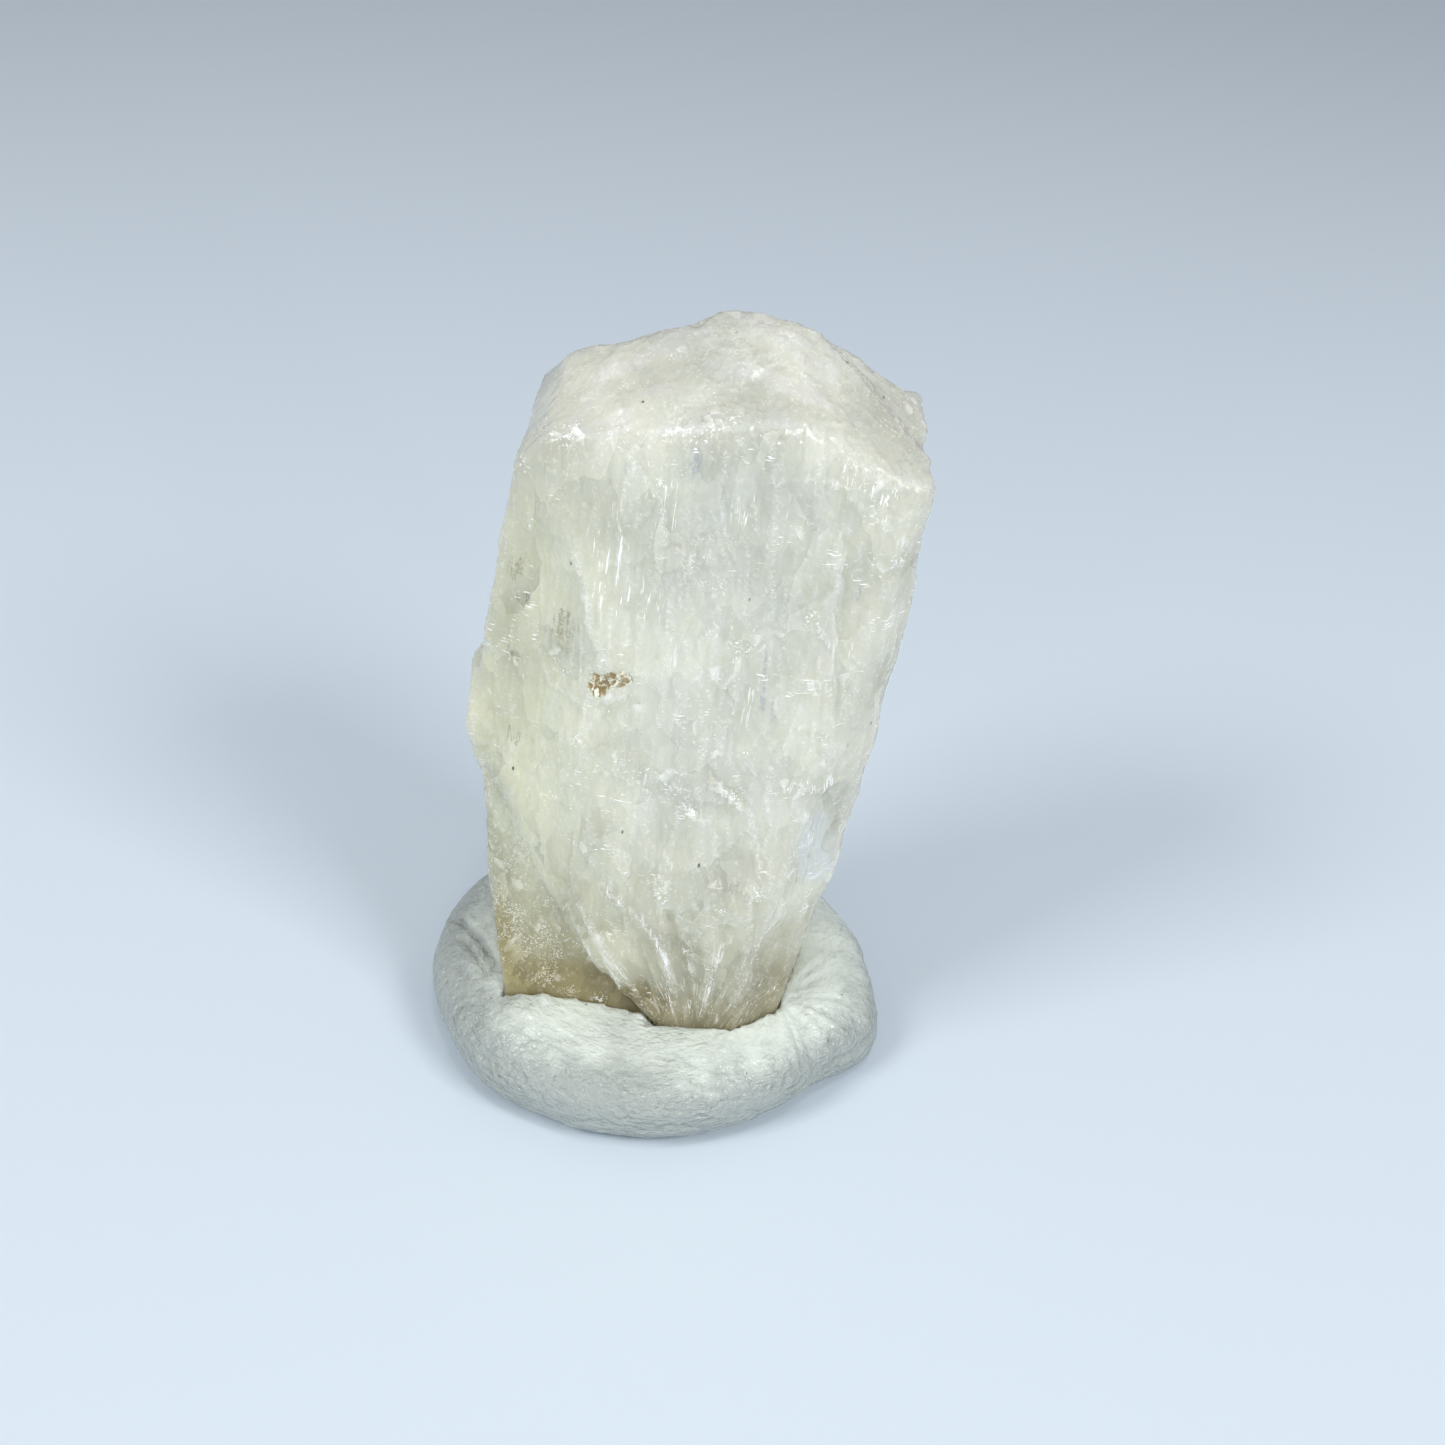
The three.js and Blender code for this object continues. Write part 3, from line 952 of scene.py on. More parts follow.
SPOTS = {
    "stain": (
        Spot(-0.5, 6.3, 1.6, 1.2, amount=0.4),
        Spot(-8.4, 7.5, 0.6, 3.8, amount=0.6),
        Spot(6.4, 8.6, 0.9, 1.2, amount=0.2),
    ),
    "speck": (
        Spot(-3.1, 26.0, 0.5, 0.7, amount=1.4),
        Spot(-2.3, 26.4, 0.8, 0.55, 14, 1.1),
    ),
    "olive": (
        Spot(-4.9, 28.7, 0.7, 1.2),
        Spot(-7.2, 31.2, 0.5, 0.9),
        Spot(-6.8, 29.6, 0.6, 0.45),
        Spot(-7.3, 26.3, 0.5, 0.5),
        Spot(-7.6, 21.6, 0.5, 0.9, amount=0.8),
    ),
    "smoke": (
        Spot(1.0, 37.6, 0.5, 1.1, amount=0.9),
        Spot(10.2, 37.3, 1.0, 0.8, -20, 0.5),
        Spot(8.7, 31.6, 0.4, 0.9, amount=0.6),
        Spot(-8.6, 20.2, 1.1, 0.8, amount=0.5),
        Spot(4.7, 26.8, 0.16, 2.2, -3),
        Spot(5.3, 24.2, 0.5, 2.4, 8, 0.5),
    ),
    "frost": (
        Spot(-2.7, 33.2, 1.0, 2.6),
        Spot(-1.8, 30.4, 1.7, 1.5),
        Spot(4.1, 35.4, 1.6, 0.9),
        Spot(7.8, 20.4, 1.5, 0.9, amount=0.8),
        Spot(8.0, 29.0, 1.4, 1.2, amount=0.8),
        # A white streak on the right crown: part frost, part painted highlight.
        Spot(8.6, 37.4, 1.8, 0.7, -35),
        Spot(9.8, 36.0, 0.7, 0.9),
    ),
    # Places where glints are painted.
    "painted_glints": (
        Spot(0.4, 20.9, 1.3, 0.5, 8),
        Spot(9.4, 33.0, 1.2, 0.7),
        Spot(3.3, 20.3, 0.9, 1.0),
        Spot(1.4, 19.2, 0.7, 0.7),
        Spot(8.4, 37.6, 1.6, 0.4, -35),
        Spot(-3.4, 38.4, 2.6, 0.5, 4, 0.8),
        Spot(1.4, 39.0, 2.0, 0.5, 8, 0.8),
    ),
    # The painted reflection of a glossy facet on the lower right.
    "painted_reflection": (Spot(8.1, 16.2, 1.0, 2.6, 6),),
}


def inside_break(at: Array) -> Array:
    """How far beyond the edge of the broken lower left each point lies, in millimetres."""
    return np.interp(at[:, 2], BREAK_HEIGHTS, BREAK_RIDGE) - at[:, 0]


class Regions:
    """Where each point of the crystal's skin lies, as shares of 0 to 1 unless said otherwise."""

    def __init__(self, skin: Skin, edge: Array, crown: Array, brow: Array) -> None:
        """Works the regions out.

        Args:
            skin: The softened skin.
            edge: How sharp each point's edge was.
            crown: Which points are as high as the crown.
            brow: Which points are on the crown's front edge.
        """
        self.edge, self.crown, self.brow = edge, crown, brow
        self.at, self.normal = skin.points * 1000, skin.normals()
        x, y, z = self.at.T
        self.left = ramp(-self.normal[:, 0], 0.3, 0.7)  # on the left faces
        self.side = ramp(np.abs(self.normal[:, 2]), 0.6, 0.35)  # on the upright faces
        self.top = ramp(self.normal[:, 2], 0.4, 0.62) * ramp(z, 33, 36)  # on the crown's upper faces
        self.shown = ramp(z, 4.4, 7.0)  # above the putty
        self.seen = ramp(-y, *FRONT) * self.shown  # above it, on the front
        self.broken = ramp(inside_break(self.at), -0.4, 0.5) * ramp(z, 22.0, 17.0) * ramp(-y, 0.5, 3.0)
        self.foot = ramp(z, 13.0, 5.0) * (1 - self.broken)
        self.contact_strip = self.foot * ramp(z, 8.2, 6.4)

        # Places across, through and along the grain, which runs up the crystal and fans out at the foot.
        straight = x - AXIS_LEAN * z
        fan = np.arctan2(x - FAN_MIDDLE[0], np.maximum(z - FAN_MIDDLE[1], 0.4)) * 11.0 + 0.9
        self.grain = np.stack([straight + (fan - straight) * self.foot, y, z], axis=1)

        # Places across, through and along the crown's growth arcs.
        out, up = x - ARC_MIDDLE[0], z - ARC_MIDDLE[1]
        self.arcs = np.stack([np.hypot(out, up), y, np.arctan2(up, out) * 9.0], axis=1)


@dataclass
class Crystal:
    """The crystal's skin, wrapped round its solid on an even grid and then carved."""

    broad, fine = GradientNoise(11), GradientNoise(23)
    shards, grains = CellFacets(5), CellFacets(8)
    node: str = "crystal"
    spacing: float = 0.195 * MM
    margin: float = 0.4 * MM
    axis_low: tuple = (-0.3 * MM, -0.5 * MM, 7.5 * MM)
    axis_high: tuple = (2.2 * MM, -0.5 * MM, 33.5 * MM)
    worn: int = 4  # rounds of smoothing everywhere
    melted: int = 16  # rounds on the crown, and on the lap over the break
    rounded: int = 40  # rounds on the crown's front edge
    blunt: int = 24  # rounds whose effect tells where the edges are
    edge_height: float = 0.16 * MM
    crest_height: float = 0.035 * MM
    scoop_share: float = 1.4
    random_scoops: int = 90
    scoop_seed: int = 41
    finish: CrystalFinish = field(default_factory=CrystalFinish)

    def box_grid(self) -> Skin:
        """A box round the solid, its sides divided into even quads that share their edges."""
        low, high = (np.array(corner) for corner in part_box(self.node))
        low, high = low - self.margin, high + self.margin
        count = np.maximum(np.round((high - low) / self.spacing).astype(int), 2)
        number: dict[tuple[int, int, int], int] = {}
        faces = []
        for axis, far in np.ndindex(3, 2):
            across, along = (axis + 1) % 3, (axis + 2) % 3
            for i, j in np.ndindex(count[across], count[along]):
                quad = []
                for corner in ((i, j), (i + 1, j), (i + 1, j + 1), (i, j + 1)):
                    key = [far * count[axis]] * 3
                    key[across], key[along] = corner
                    quad.append(number.setdefault(tuple(key), len(number)))
                faces.append(quad if far else quad[::-1])
        points = low + (high - low) * np.array(list(number)) / count
        return Skin(points, np.array(faces))

    def wrap(self) -> Skin:
        """The grid drawn onto the solid, along rays from the crystal's long axis."""
        grid = self.box_grid()
        solid = merged_copy(self.node)
        tree = BVHTree.FromBMesh(solid)
        solid.free()
        low, high = np.array(self.axis_low), np.array(self.axis_high)
        share = np.clip((grid.points[:, 2] - low[2]) / (high[2] - low[2]), 0.0, 1.0)
        origins = low + (high - low) * share[:, None]
        rays = grid.points - origins
        points = np.empty_like(grid.points)
        for i, (origin, ray) in enumerate(zip(origins, rays)):
            hit = tree.ray_cast(Vector(origin), Vector(ray))[0]
            points[i] = hit if hit is not None else origin + ray
        return Skin(points, grid.faces)

    def scattered_scoops(self, at: Array, normal: Array) -> list[Scoop]:
        """Small fractures over the whole crystal, drawn out along its length."""
        rng = np.random.default_rng(self.scoop_seed)
        scoops = []
        for i in rng.integers(0, len(at), self.random_scoops):
            upright = abs(normal[i, 2]) < 0.5
            width = rng.uniform(0.5, 1.5)
            height = width * (rng.uniform(1.5, 3.5) if upright else rng.uniform(0.8, 1.6))
            facing = tuple(normal[i] + rng.normal(size=3) * 0.05)
            depth = width * rng.uniform(0.05, 0.11)
            lean, slant = rng.normal() * 9, rng.uniform(-0.8, 0.8)
            scoops.append(Scoop(tuple(at[i]), width, height, depth, lean, facing, slant))
        return scoops

    def soften(self, skin: Skin) -> tuple[Array, Array, Array]:
        """Wears the skin down, most on the crown, on its front brow and on the lap over the break.

        Args:
            skin: The wrapped skin, whose points are moved.

        Returns:
            How sharp each point's edge was, and which points are on the crown and on its brow.
        """
        worn = skin.smoothed(self.worn)
        edge = np.clip(np.linalg.norm(skin.smoothed(self.blunt) - worn, axis=1) / self.edge_height, 0, 1)
        height = skin.points[:, 2] * 1000
        crown = ramp(height, 32, 35.5)
        lap = np.exp(-((inside_break(skin.points * 1000) / 1.3) ** 2)) * ramp(height, 18, 14)
        skin.points = mixed(worn, skin.smoothed(self.melted), np.maximum(crown, lap))
        x, y, z = skin.points.T * 1000
        brow = ramp(-y, 4.0, 5.5) * ramp(x, -6.0, -4.6) * ramp(x, 9.4, 8.0) * ramp(z, 34, 36)
        skin.points = mixed(skin.points, skin.smoothed(self.rounded), brow)
        return edge, crown, brow

    def growth(self, here: Regions) -> Array:
        """Depth of the plates, ribs and arcs that the crystal grew with, in millimetres."""
        at, arcs = here.at, here.arcs
        plates = 0.18 * terraces(self.broad.fractal(at, (0.30, 0.30, 0.12), 3), 3.0)
        plates += 0.12 * terraces(self.broad.fractal(at + 5, (0.42, 0.42, 0.045), 2), 3.0)
        plates += 0.07 * terraces(self.fine.fractal(at + 3, (0.85, 0.85, 0.42), 2), 2.5, 0.25)
        plates += 0.04 * self.broad.fractal(at + 40, (1.5, 1.5, 0.09), 2)
        plates += 0.08 * self.shards.at(at + 11, (0.36, 0.36, 0.13))
        plates += 0.04 * self.grains.at(at, (0.8, 0.8, 0.35))
        tiers = 0.15 * terraces(self.broad.fractal(arcs, (0.75, 0.25, 0.22), 2), 3.0, 0.25)
        tiers += 0.05 * self.fine.fractal(arcs + 7, (1.6, 0.4, 0.3), 2)
        plated = here.side * (1 - here.broken) * (1 - 0.6 * here.left)
        return 0.09 * self.broad.at(at, 0.15) - plated * plates - here.top * tiers

    def fractures(self, here: Regions) -> Array:
        """Depth of the shell-shaped scoops and of the chips along the edges, in millimetres."""
        at, crown = here.at, here.crown
        scoops = (*PLACED_SCOOPS, *self.scattered_scoops(at, here.normal))
        depth = sum(scoop.cut(at, here.normal) for scoop in scoops)
        depth *= self.scoop_share * (1 - 0.7 * here.broken) * (1 - 0.6 * here.top)
        chips = 0.30 * np.clip(self.fine.fractal(at, 0.6, 3) + 0.05, 0, 1)
        chips += 0.10 * self.shards.at(at, 0.75) * (1 - crown)
        chips += 0.05 * (self.shards.at(at + 3, 0.9) + 0.7 * self.grains.at(at, 1.6)) * crown
        chips -= 0.26 * crown * ramp(at[:, 0], 5.0, 8.5) * ramp(here.normal[:, 1], -0.7, -0.1)
        return depth + chips * here.edge * (1 - 0.5 * here.left) * (1 + 0.6 * crown) * (1 - 0.8 * here.brow)

    def broken_foot(self, here: Regions) -> Array:
        """Depth of the rough break's hollow and grains, and of the foot's fan, in millimetres."""
        at = here.at
        x, y, z = at.T
        hollow = 0.35 * ramp(inside_break(at), 0.0, 1.4) * ramp(x, -9.6, -7.6)
        hollow *= ramp(z, 20, 15) * ramp(-y, 1.0, 4.0)
        crumbs = 0.07 * self.shards.at(at, 0.8) + 0.035 * self.grains.at(at, 1.9)
        fan = 0.15 * self.broad.fractal(here.grain, (0.65, 0.25, 0.12), 2)
        fan += 0.06 * self.shards.at(at + 30, 1.1)
        slanted = np.stack([x + 0.8 * z, y, z - 0.3 * x], axis=1)
        hatch = 0.07 * self.fine.fractal(slanted, (1.9, 0.4, 0.5), 2)
        return hollow + here.broken * crumbs + here.foot * fan + here.contact_strip * hatch

    @staticmethod
    def sheet_edges(here: Regions) -> tuple[Array, Array]:
        """How high the edges of inner sheets stand, in millimetres, and how white they are, partly as painted
        glints.
        """
        lift, white = np.zeros(len(here.at)), np.zeros(len(here.at))
        front_places = here.at[:, [0, 2]]
        for sheet in SHEET_EDGES:
            lift += here.seen * sheet.height * sheet.nearness(front_places)
            white = np.maximum(white, here.seen * sheet.whiteness * sheet.nearness(front_places, 1.3))
        return lift, white

    def carve(self, skin: Skin) -> dict[str, Array]:
        """Moves the skin's points to give it relief, and marks its zones.

        Args:
            skin: The wrapped skin, whose points are replaced.

        Returns:
            The zones that the material reads, each a value for every point.
        """
        here = Regions(skin, *self.soften(skin))
        lift, white = self.sheet_edges(here)
        depth = self.growth(here) + self.fractures(here) + self.broken_foot(here) - lift
        skin.plain = skin.points
        skin.points = skin.points - here.normal * (depth * here.shown * MM)[:, None]
        return self.zones(here, skin.crests(3, self.crest_height), white)

    def zones(self, here: Regions, crest: Array, white: Array) -> dict[str, Array]:
        """Where the crystal is stained, frosty or clear, where glints, a reflection and groove shade are
        painted on it, and the grain that it follows.

        Args:
            here: The regions.
            crest: How far each point stands above its surroundings, from -1 to 1.
            white: How white the sheet edges make each point, partly as painted glints.

        Returns:
            One value for every point in each zone, 0 to 1, and the places across and along the grain.
        """
        at, top, broken, foot = here.at, here.top, here.broken, here.foot
        x, _, z = at.T
        above = z - np.interp(x, CONTACT_X, CONTACT_Z)
        patch = self.fine.fractal(at + 80, (0.33, 0.33, 0.5), 2)
        streak = self.broad.fractal(here.grain + 50, (0.9, 0.4, 0.16), 2)
        zones = {name: sum(spot.cover(at) for spot in spots) for name, spots in SPOTS.items()}

        zones["stain"] += 0.38 * broken * (0.25 + 0.75 * ramp(z, 14, 8)) + 0.2 * ramp(above, 5.0, 1.5)
        zones["stain"] += ramp(above, 3.0, 0.0) * (0.3 * ramp(x, 1.5, -1.0) + 0.5)
        zones["straw"] = (0.9 * ramp(x, 1.0, -8.0) * ramp(z, 40, 30) + 0.5 * ramp(z, 20, 6)) * (1 - 0.5 * top)
        zones["dashed"] = ramp(patch, 0.18, 0.45) * (1 - top) * (1 - broken)
        zones["frost"] += 0.7 * ramp(streak, 0.35, 0.7) * ramp(-patch, 0.0, 0.3)
        zones["frost"] += 0.7 * foot * ramp(streak, 0.2, 0.5) + white + 0.6 * here.contact_strip
        # Painted glints: in patches, along the edges, on the crown's top faces and on the break.
        zones["painted_glints"] += ramp(self.fine.fractal(at + 90, 0.5, 2), 0.25, 0.6) * (1 - 0.7 * top)
        zones["painted_glints"] += 0.4 * broken * ramp(z, 5.5, 7.5) + 0.25 * top
        zones["painted_glints"] += 0.5 * white + 0.35 * here.edge * (1 - 0.8 * here.brow)
        clump = 0.55 * np.exp(-(((x + 6.2) / 1.8) ** 2) - ((z - 9.0) / 2.2) ** 2)
        curd = ramp(self.fine.fractal(at + 70, 0.55, 2) + clump, 0.0, 0.55)
        zones["curd"] = broken * curd * ramp(z + 0.8 * (x + 7), 5.0, 6.6) * ramp(x, -3.4, -4.6)
        zones["window"] = 0.46 + 0.04 * foot + 0.08 * broken + 0.16 * self.broad.fractal(at + 60, 0.2, 2)
        zones["arc"] = 0.5 + top * self.broad.fractal(here.arcs + 33, (1.7, 0.4, 0.3), 2)
        # From the skin's curvature: crests get painted highlights and grooves get painted shade.
        zones |= {"crest": crest * (1 - 0.8 * here.edge), "groove": -crest, "crown": top}
        zones = {name: np.clip(share, 0, 1) for name, share in zones.items()}
        return zones | {"across": here.grain[:, 0], "along": here.grain[:, 2]}

    def build(self) -> tuple[bpy.types.Object, Skin]:
        """Makes the crystal's piece, which takes the place of its solid.

        Returns:
            The piece, and its skin for what is made inside it or pressed against it.
        """
        skin = self.wrap()
        zones = self.carve(skin)
        piece = skin.to_object("crystal_skin", self.finish.make())
        for name, values in zones.items():
            add_attribute(piece, name, values)
        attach(piece, "root")
        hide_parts(self.node)
        return piece, skin


@dataclass
class InnerVeils:
    """Flakes of healed cleavage inside the crystal, larger the deeper they lie."""

    seed: int = 3
    per_square_mm: float = 0.26
    shallow: float = 0.4 * MM
    deep: float = 3.4 * MM
    crowding: float = 1.6
    size_share: float = 0.75
    room: float = 0.7
    flake: tuple = (1.0, 0.55, 0.03)
    lying_share: float = 0.3
    sway: float = 0.25
    waviness: float = 0.15 * MM
    lowest: float = 4.5 * MM
    finish: VeilFinish = field(default_factory=VeilFinish)

    def tree(self, material: bpy.types.Material) -> bpy.types.NodeTree:
        """Geometry nodes that scatter flakes below a surface.

        Args:
            material: The flakes' material.

        Returns:
            The node tree, which takes a surface and gives the flakes.
        """
        group = bpy.data.node_groups.new("inner veils", "GeometryNodeTree")
        for way in ("INPUT", "OUTPUT"):
            group.interface.new_socket(name="Geometry", in_out=way, socket_type="NodeSocketGeometry")
        nodes = Nodes(group)
        node = nodes.node
        given = node("NodeGroupInput")

        def random(low: float, high: float, seed: int) -> Socket:
            """A random number for each flake."""
            settings, inputs = {"data_type": "FLOAT"}, {2: low, 3: high, 8: seed}
            return node("FunctionNodeRandomValue", settings, inputs, output=1)

        scatter = {"Mesh": given, "Density": self.per_square_mm / MM**2, "Seed": self.seed}
        points = node("GeometryNodeDistributePointsOnFaces", inputs=scatter)
        depth = random(0.0, 1.0, 11) ** self.crowding * (self.deep - self.shallow) + self.shallow
        inward = nodes.vector("SCALE", points.beside("Normal"), depth * -1.0)
        sunk = node("GeometryNodeSetPosition", inputs={"Geometry": points, "Offset": inward})

        lying = random(0.0, 1.0, 22).math("LESS_THAN", self.lying_share)
        pitch = (1.0 - lying) * (math.pi / 2) + random(-self.sway, self.sway, 23)
        angles = nodes.combine(pitch, random(-self.sway, self.sway, 24), random(-math.pi, math.pi, 21))
        clearance = node("GeometryNodeProximity", {"target_element": "FACES"}, {0: given}, output="Distance")
        size = clearance * self.size_share * random(0.35, 1.0, 25)
        ball = node("GeometryNodeMeshIcoSphere", inputs={"Radius": 1.0, "Subdivisions": 2})
        placing = {
            "Points": sunk,
            "Selection": clearance.math("GREATER_THAN", depth * self.room),
            "Instance": node("GeometryNodeTransform", inputs={"Geometry": ball, "Scale": self.flake}),
            "Rotation": node("FunctionNodeEulerToRotation", inputs={0: angles}),
            "Scale": nodes.combine(size, size, size),
        }
        placed = node("GeometryNodeInstanceOnPoints", inputs=placing)
        flakes = node("GeometryNodeRealizeInstances", inputs={0: placed})
        wave = node("ShaderNodeTexNoise", inputs={"Scale": 900.0, "Detail": 2.0}, output="Color")
        centred = nodes.vector("SUBTRACT", wave, (0.5, 0.5, 0.5))
        bend = nodes.vector("SCALE", centred, 2 * self.waviness)
        bent = node("GeometryNodeSetPosition", inputs={"Geometry": flakes, "Offset": bend})
        dressed = node("GeometryNodeSetMaterial", inputs={"Geometry": bent, "Material": material})
        group.links.new(dressed.output, group.nodes.new("NodeGroupOutput").inputs["Geometry"])
        return group

    def build(self, skin: Skin) -> bpy.types.Object:
        """Makes the flakes' piece.

        Args:
            skin: The crystal's skin.

        Returns:
            The piece.
        """
        material = self.finish.make()
        clear_of_putty = skin.points[skin.faces][:, :, 2].min(axis=1) > self.lowest
        host = Skin(skin.points, skin.faces[clear_of_putty]).to_object("veil_host", material)
        host.modifiers.new("veils", "NODES").node_group = self.tree(material)
        mesh = applied(host)
        mesh.materials.clear()
        mesh.materials.append(material)
        piece = add_object("inner_veils", mesh)
        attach(piece, "root")
        return piece


# ---------- the putty


PUTTY_CREASES = (
    BentLine(((-12.3, 1.6, 3.2), (-11.6, 1.0, 4.2), (-10.1, -1.2, 5.0), (-8.6, -3.9, 5.2)), 0.22, 0.22),
    BentLine(((-12.2, 0.2, 3.6), (-10.9, -1.4, 4.8), (-9.4, -4.0, 5.2)), 0.16, 0.2),
    BentLine(((-12.3, -1.8, 3.0), (-11.0, -3.2, 4.5), (-9.6, -5.4, 5.0)), 0.1, 0.2),
    BentLine(((1.2, -9.2, 5.0), (2.6, -9.9, 4.7), (3.9, -10.1, 4.5), (5.2, -9.8, 4.4)), 0.12, 0.18),
    BentLine(((2.0, -10.4, 4.3), (3.4, -10.8, 4.0), (4.9, -10.6, 3.9)), 0.09, 0.16),
    BentLine(((-9.0, -6.8, 4.4), (-6.0, -8.9, 4.7), (-2.6, -9.9, 4.6)), 0.05, 0.2),
    BentLine(((-10.2, -6.6, 3.0), (-7.4, -9.4, 3.2), (-4.4, -11.0, 3.0)), 0.04, 0.18),
    BentLine(((8.3, -8.6, 1.6), (10.4, -6.6, 2.4), (12.2, -4.4, 2.2)), 0.14, 0.22),
)


@dataclass
class Putty:
    """The putty ring: a fine copy of its solid, pressed against the crystal and finger-marked."""

    soft, fine, grit = GradientNoise(31), GradientNoise(37), GradientNoise(43)
    node: str = "putty_ring"
    voxel: float = 0.14 * MM
    worked: int = 6  # rounds of smoothing
    ridge_pitch: float = 0.5  # from one finger ridge to the next, in millimetres
    pull_x: float = 7.0  # where the putty was pulled up against the crystal, in millimetres
    pull_y: float = -4.6
    contact: float = 0.02 * MM
    pocket_gap: float = 0.3 * MM
    give: float = 1.4 * MM
    crease_share: float = 1.6
    finish: PuttyFinish = field(default_factory=PuttyFinish)

    def fine_copy(self) -> Skin:
        """The solid remeshed with small even quads."""
        solid = merged_copy(self.node)
        mesh = bpy.data.meshes.new("putty_copy")
        solid.to_mesh(mesh)
        solid.free()
        helper = add_object("putty_copy", mesh)
        remesh = helper.modifiers.new("fine", "REMESH")
        remesh.mode = "VOXEL"
        remesh.voxel_size = self.voxel
        fine = applied(helper)
        points = np.empty(len(fine.vertices) * 3)
        fine.vertices.foreach_get("co", points)
        faces = np.empty(len(fine.polygons) * 4, dtype=int)
        fine.polygons.foreach_get("vertices", faces)
        bpy.data.meshes.remove(fine)
        return Skin(points.reshape(-1, 3), faces.reshape(-1, 4))

    def press(self, skin: Skin, crystal: Skin) -> None:
        """Draws the pocket's wall onto the crystal, and what is near the wall after it.

        Args:
            skin: The putty's skin, whose points are moved.
            crystal: The crystal's skin.
        """
        tree = BVHTree.FromPolygons(crystal.plain.tolist(), crystal.faces.tolist())
        for i, point in enumerate(skin.points):
            place, normal, face, distance = tree.find_nearest(Vector(point), self.pocket_gap + self.give)
            if place is None:
                continue
            corner = crystal.faces[face][0]
            carved = (Vector(crystal.plain[corner]) - Vector(crystal.points[corner])).dot(normal)
            inward = self.pocket_gap + max(carved, 0.0) - self.contact
            share = 1.0 - max(distance - self.pocket_gap, 0.0) / self.give
            skin.points[i] = Vector(point) - normal * (inward * share * share)

    @staticmethod
    def near(at: Array, middle: float, breadth: float) -> Array:
        """Which points lie near a direction on the ring.

        Args:
            at: The points.
            middle: The direction, as an azimuth in degrees.
            breadth: How many degrees away the share has fallen to 0.

        Returns:
            One share for each point, 0 to 1.
        """
        away = np.abs((np.degrees(np.arctan2(at[:, 1], at[:, 0])) - middle + 540) % 360 - 180)
        return ramp(away, breadth, breadth * 0.4)

    def rolled(self, at: Array) -> Array:
        """Height of the roll's dents, long wrinkles and pits.

        Args:
            at: The points, in millimetres.

        Returns:
            The heights, in millimetres.
        """
        x, y, z = at.T
        reach = np.hypot(x, y)
        rope = np.stack([np.arctan2(y, x) * 9.0, np.arctan2(z - 2.0, reach - 9.4) * 2.8, reach * 0.1], axis=1)
        wrinkle = 1 - np.abs(self.fine.fractal(rope, (0.16, 1.5, 1.0), 3)) * 2.2
        wrinkle *= (0.2 + self.near(at, -125, 60)) * ramp(self.fine.fractal(at + 60, 0.35, 2), -0.3, 0.3)
        groove = ramp(self.fine.fractal(rope + 5, (0.3, 1.9, 1.0), 2), 0.3, 0.6) * self.near(at, -125, 70)
        pit = ramp(self.grit.fractal(at + 20, 1.9, 2), 0.3, 0.6) * ramp(z, 4.6, 3.4)
        lift = 0.10 * self.soft.at(at, 0.28) + 0.05 * self.soft.at(at, 0.7)
        return lift + 0.06 * wrinkle - 0.03 * groove + 0.035 * self.grit.fractal(at, 1.5, 3) - 0.07 * pit

    def handled(self, at: Array) -> Array:
        """Height of what fingers left: ridges, a pulled corner and creases.

        Args:
            at: The points, in millimetres.

        Returns:
            The heights, in millimetres.
        """
        x, y, z = at.T
        slant = (x * 0.55 - y * 0.25 + z * 0.8) / self.ridge_pitch + 1.4 * self.fine.at(at, 0.45)
        ridges = np.sin(2 * np.pi * slant) * ramp(self.fine.fractal(at + 8, 0.5, 2), -0.2, 0.3)
        ridges *= self.near(at, -45, 34) * ramp(z, 0.8, 2.0)
        across, back = x - self.pull_x, y - self.pull_y
        pull = np.hypot(across, back)
        rays = np.stack([np.arctan2(back, across) * 6.0, pull * 0.12, z * 0.1], axis=1)
        pulled = self.fine.fractal(rays, 1.0, 2) * ramp(pull, 6.0, 2.0) * ramp(pull, 0.3, 1.2)
        creases = sum(crease.height * crease.nearness(at) for crease in PUTTY_CREASES)
        return 0.035 * ridges + 0.14 * pulled - self.crease_share * creases

    def knead(self, skin: Skin) -> None:
        """Gives the roll its dents, wrinkles, creases, pits and finger ridges.

        Args:
            skin: The putty's skin, whose points are moved.
        """
        skin.points = skin.smoothed(self.worked)
        normal = skin.normals()
        at = skin.points * 1000
        outside = ramp(np.hypot(at[:, 0], at[:, 1]), 7.4, 8.6) * ramp(at[:, 2], 0.1, 0.6)
        lift = (self.rolled(at) + self.handled(at)) * outside
        skin.points = skin.points + normal * (lift * MM)[:, None]
        skin.points[:, 2] = np.maximum(skin.points[:, 2], 0.0)

    def build(self, crystal: Skin) -> bpy.types.Object:
        """Makes the putty's piece, which takes the place of its solid.

        Args:
            crystal: The crystal's skin, which the pocket follows.

        Returns:
            The piece.
        """
        skin = self.fine_copy()
        self.knead(skin)
        self.press(skin, crystal)
        piece = skin.to_object("putty_roll", self.finish.make())
        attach(piece, "root")
        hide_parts(self.node)
        return piece


# ---------- studio and camera


@dataclass(frozen=True)
class Lamp:
    """A square soft lamp: its place, the length of its side and its power in watts."""

    name: str
    place: Triple
    side: float
    power: float
    colour: Triple = (1.0, 1.0, 1.0)

    def hang(self, aim: Vector) -> None:
        """Adds the lamp to the scene.

        Args:
            aim: What it points at.
        """
        lamp = bpy.data.lights.new(self.name, "AREA")
        lamp.size, lamp.energy, lamp.color = self.side, self.power, self.colour
        holder = add_object(self.name, lamp)
        holder.location = self.place
        holder.rotation_euler = (aim - Vector(self.place)).to_track_quat("-Z", "Y").to_euler()


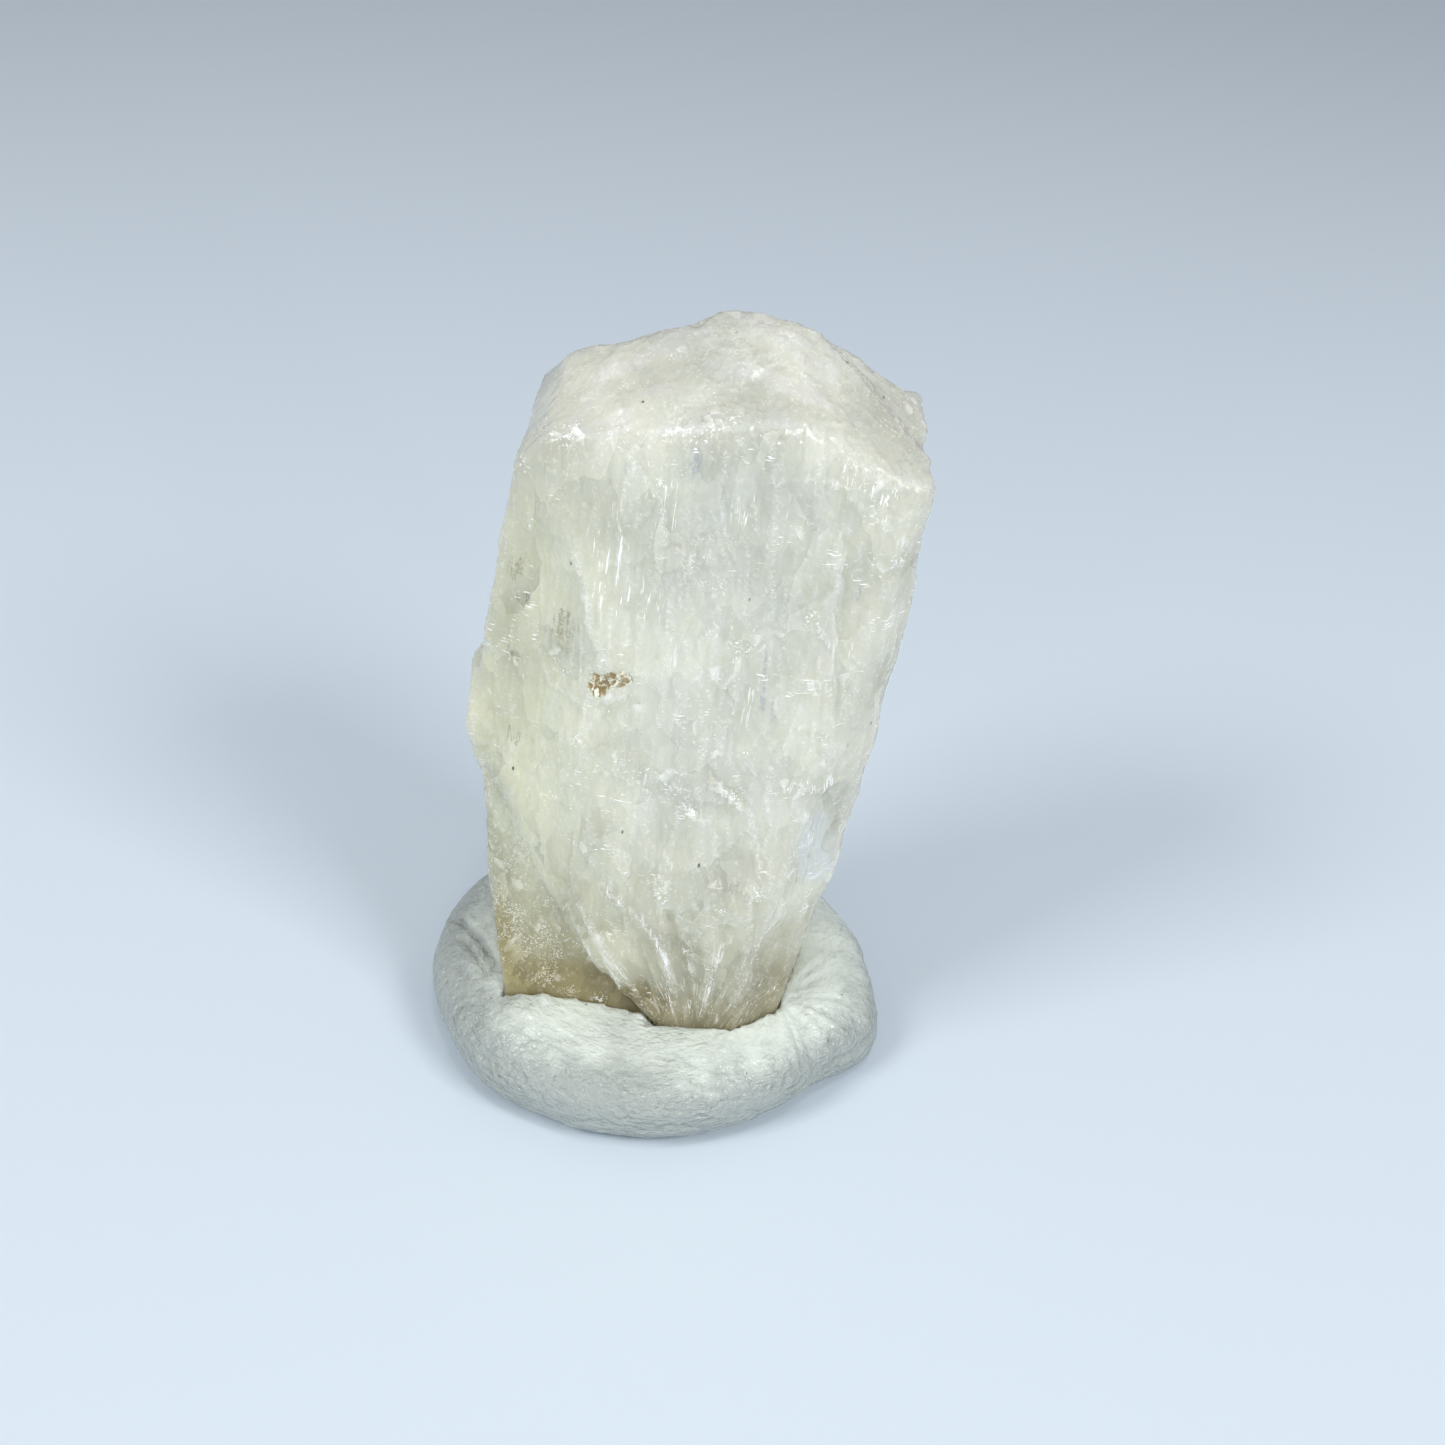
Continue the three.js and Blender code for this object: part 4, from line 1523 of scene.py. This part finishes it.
LAMPS = (
    Lamp("left", (-0.26, -0.20, 0.31), 0.14, 0.83, (1.0, 0.985, 0.95)),
    Lamp("right", (0.25, -0.23, 0.29), 0.14, 0.87, (1.0, 0.985, 0.955)),
    Lamp("sparkle", (0.04, -0.14, 0.42), 0.04, 0.16),
    Lamp("low left", (-0.17, -0.38, 0.08), 0.02, 0.07),
    Lamp("low right", (0.20, -0.36, 0.08), 0.02, 0.13),
)


@dataclass
class Studio:
    """A pale floor under soft lamps."""

    floor_size: float = 4.0
    sky: tuple = (0.92, 0.95, 1.0, 1.0)
    sky_strength: float = 0.42
    middle: tuple = (0.0, 0.0, 20.0 * MM)

    def lay_floor(self) -> None:
        """Makes the floor."""
        half = self.floor_size / 2
        corners = np.array([(-half, -half, 0), (half, -half, 0), (half, half, 0), (-half, half, 0)])
        floor = Skin(corners, np.array([[0, 1, 2, 3]])).to_object("floor", FloorFinish().make(), False)

    def light(self) -> None:
        """Adds the sky and the lamps."""
        world = bpy.data.worlds.new("studio")
        world.use_nodes = True
        background = world.node_tree.nodes["Background"]
        background.inputs["Color"].default_value = self.sky
        background.inputs["Strength"].default_value = self.sky_strength
        bpy.context.scene.world = world
        for lamp in LAMPS:
            lamp.hang(Vector(self.middle))
        view = bpy.context.scene.view_settings
        view.view_transform = "Standard"
        view.look = "None"

    def build(self) -> None:
        """Makes the floor and the lights."""
        self.lay_floor()
        self.light()


@dataclass
class Viewpoint:
    """The camera: 33 degrees above the floor, facing the broad front face, tilted a little."""

    elevation: float = 33.0
    roll: float = 3.7
    distance: float = 93.5 * MM
    aim: tuple = (2.896 * MM, 2.95 * MM, 18.0 * MM)
    focal_px: float = 1700.0
    frame_px: float = 1445.0
    sensor_mm: float = 36.0

    def build(self) -> None:
        """Makes the camera."""
        rise, turn = math.radians(self.elevation), math.radians(self.roll)
        forward = Vector((0.0, math.cos(rise), -math.sin(rise)))
        right, up = Vector((1.0, 0.0, 0.0)), Vector((0.0, math.sin(rise), math.cos(rise)))
        across = right * math.cos(turn) + up * math.sin(turn)
        upright = up * math.cos(turn) - right * math.sin(turn)
        data = bpy.data.cameras.new("camera")
        data.sensor_width = self.sensor_mm
        data.lens = self.focal_px / self.frame_px * self.sensor_mm
        data.clip_start = 1 * MM
        camera = add_object("camera", data)
        axes = Matrix((across, upright, -forward)).transposed()
        camera.matrix_world = Matrix.Translation(Vector(self.aim) - forward * self.distance) @ axes.to_4x4()
        bpy.context.scene.camera = camera


def main() -> None:
    """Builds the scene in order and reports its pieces."""
    logging.basicConfig(level=logging.INFO, format="%(name)s %(message)s")
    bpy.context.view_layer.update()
    Viewpoint().build()
    Studio().build()
    crystal, skin = Crystal().build()
    for piece in (crystal, InnerVeils().build(skin), Putty().build(skin)):
        log.info("%s: %d faces", piece.name, len(piece.data.polygons))


if __name__ == "__main__":
    main()
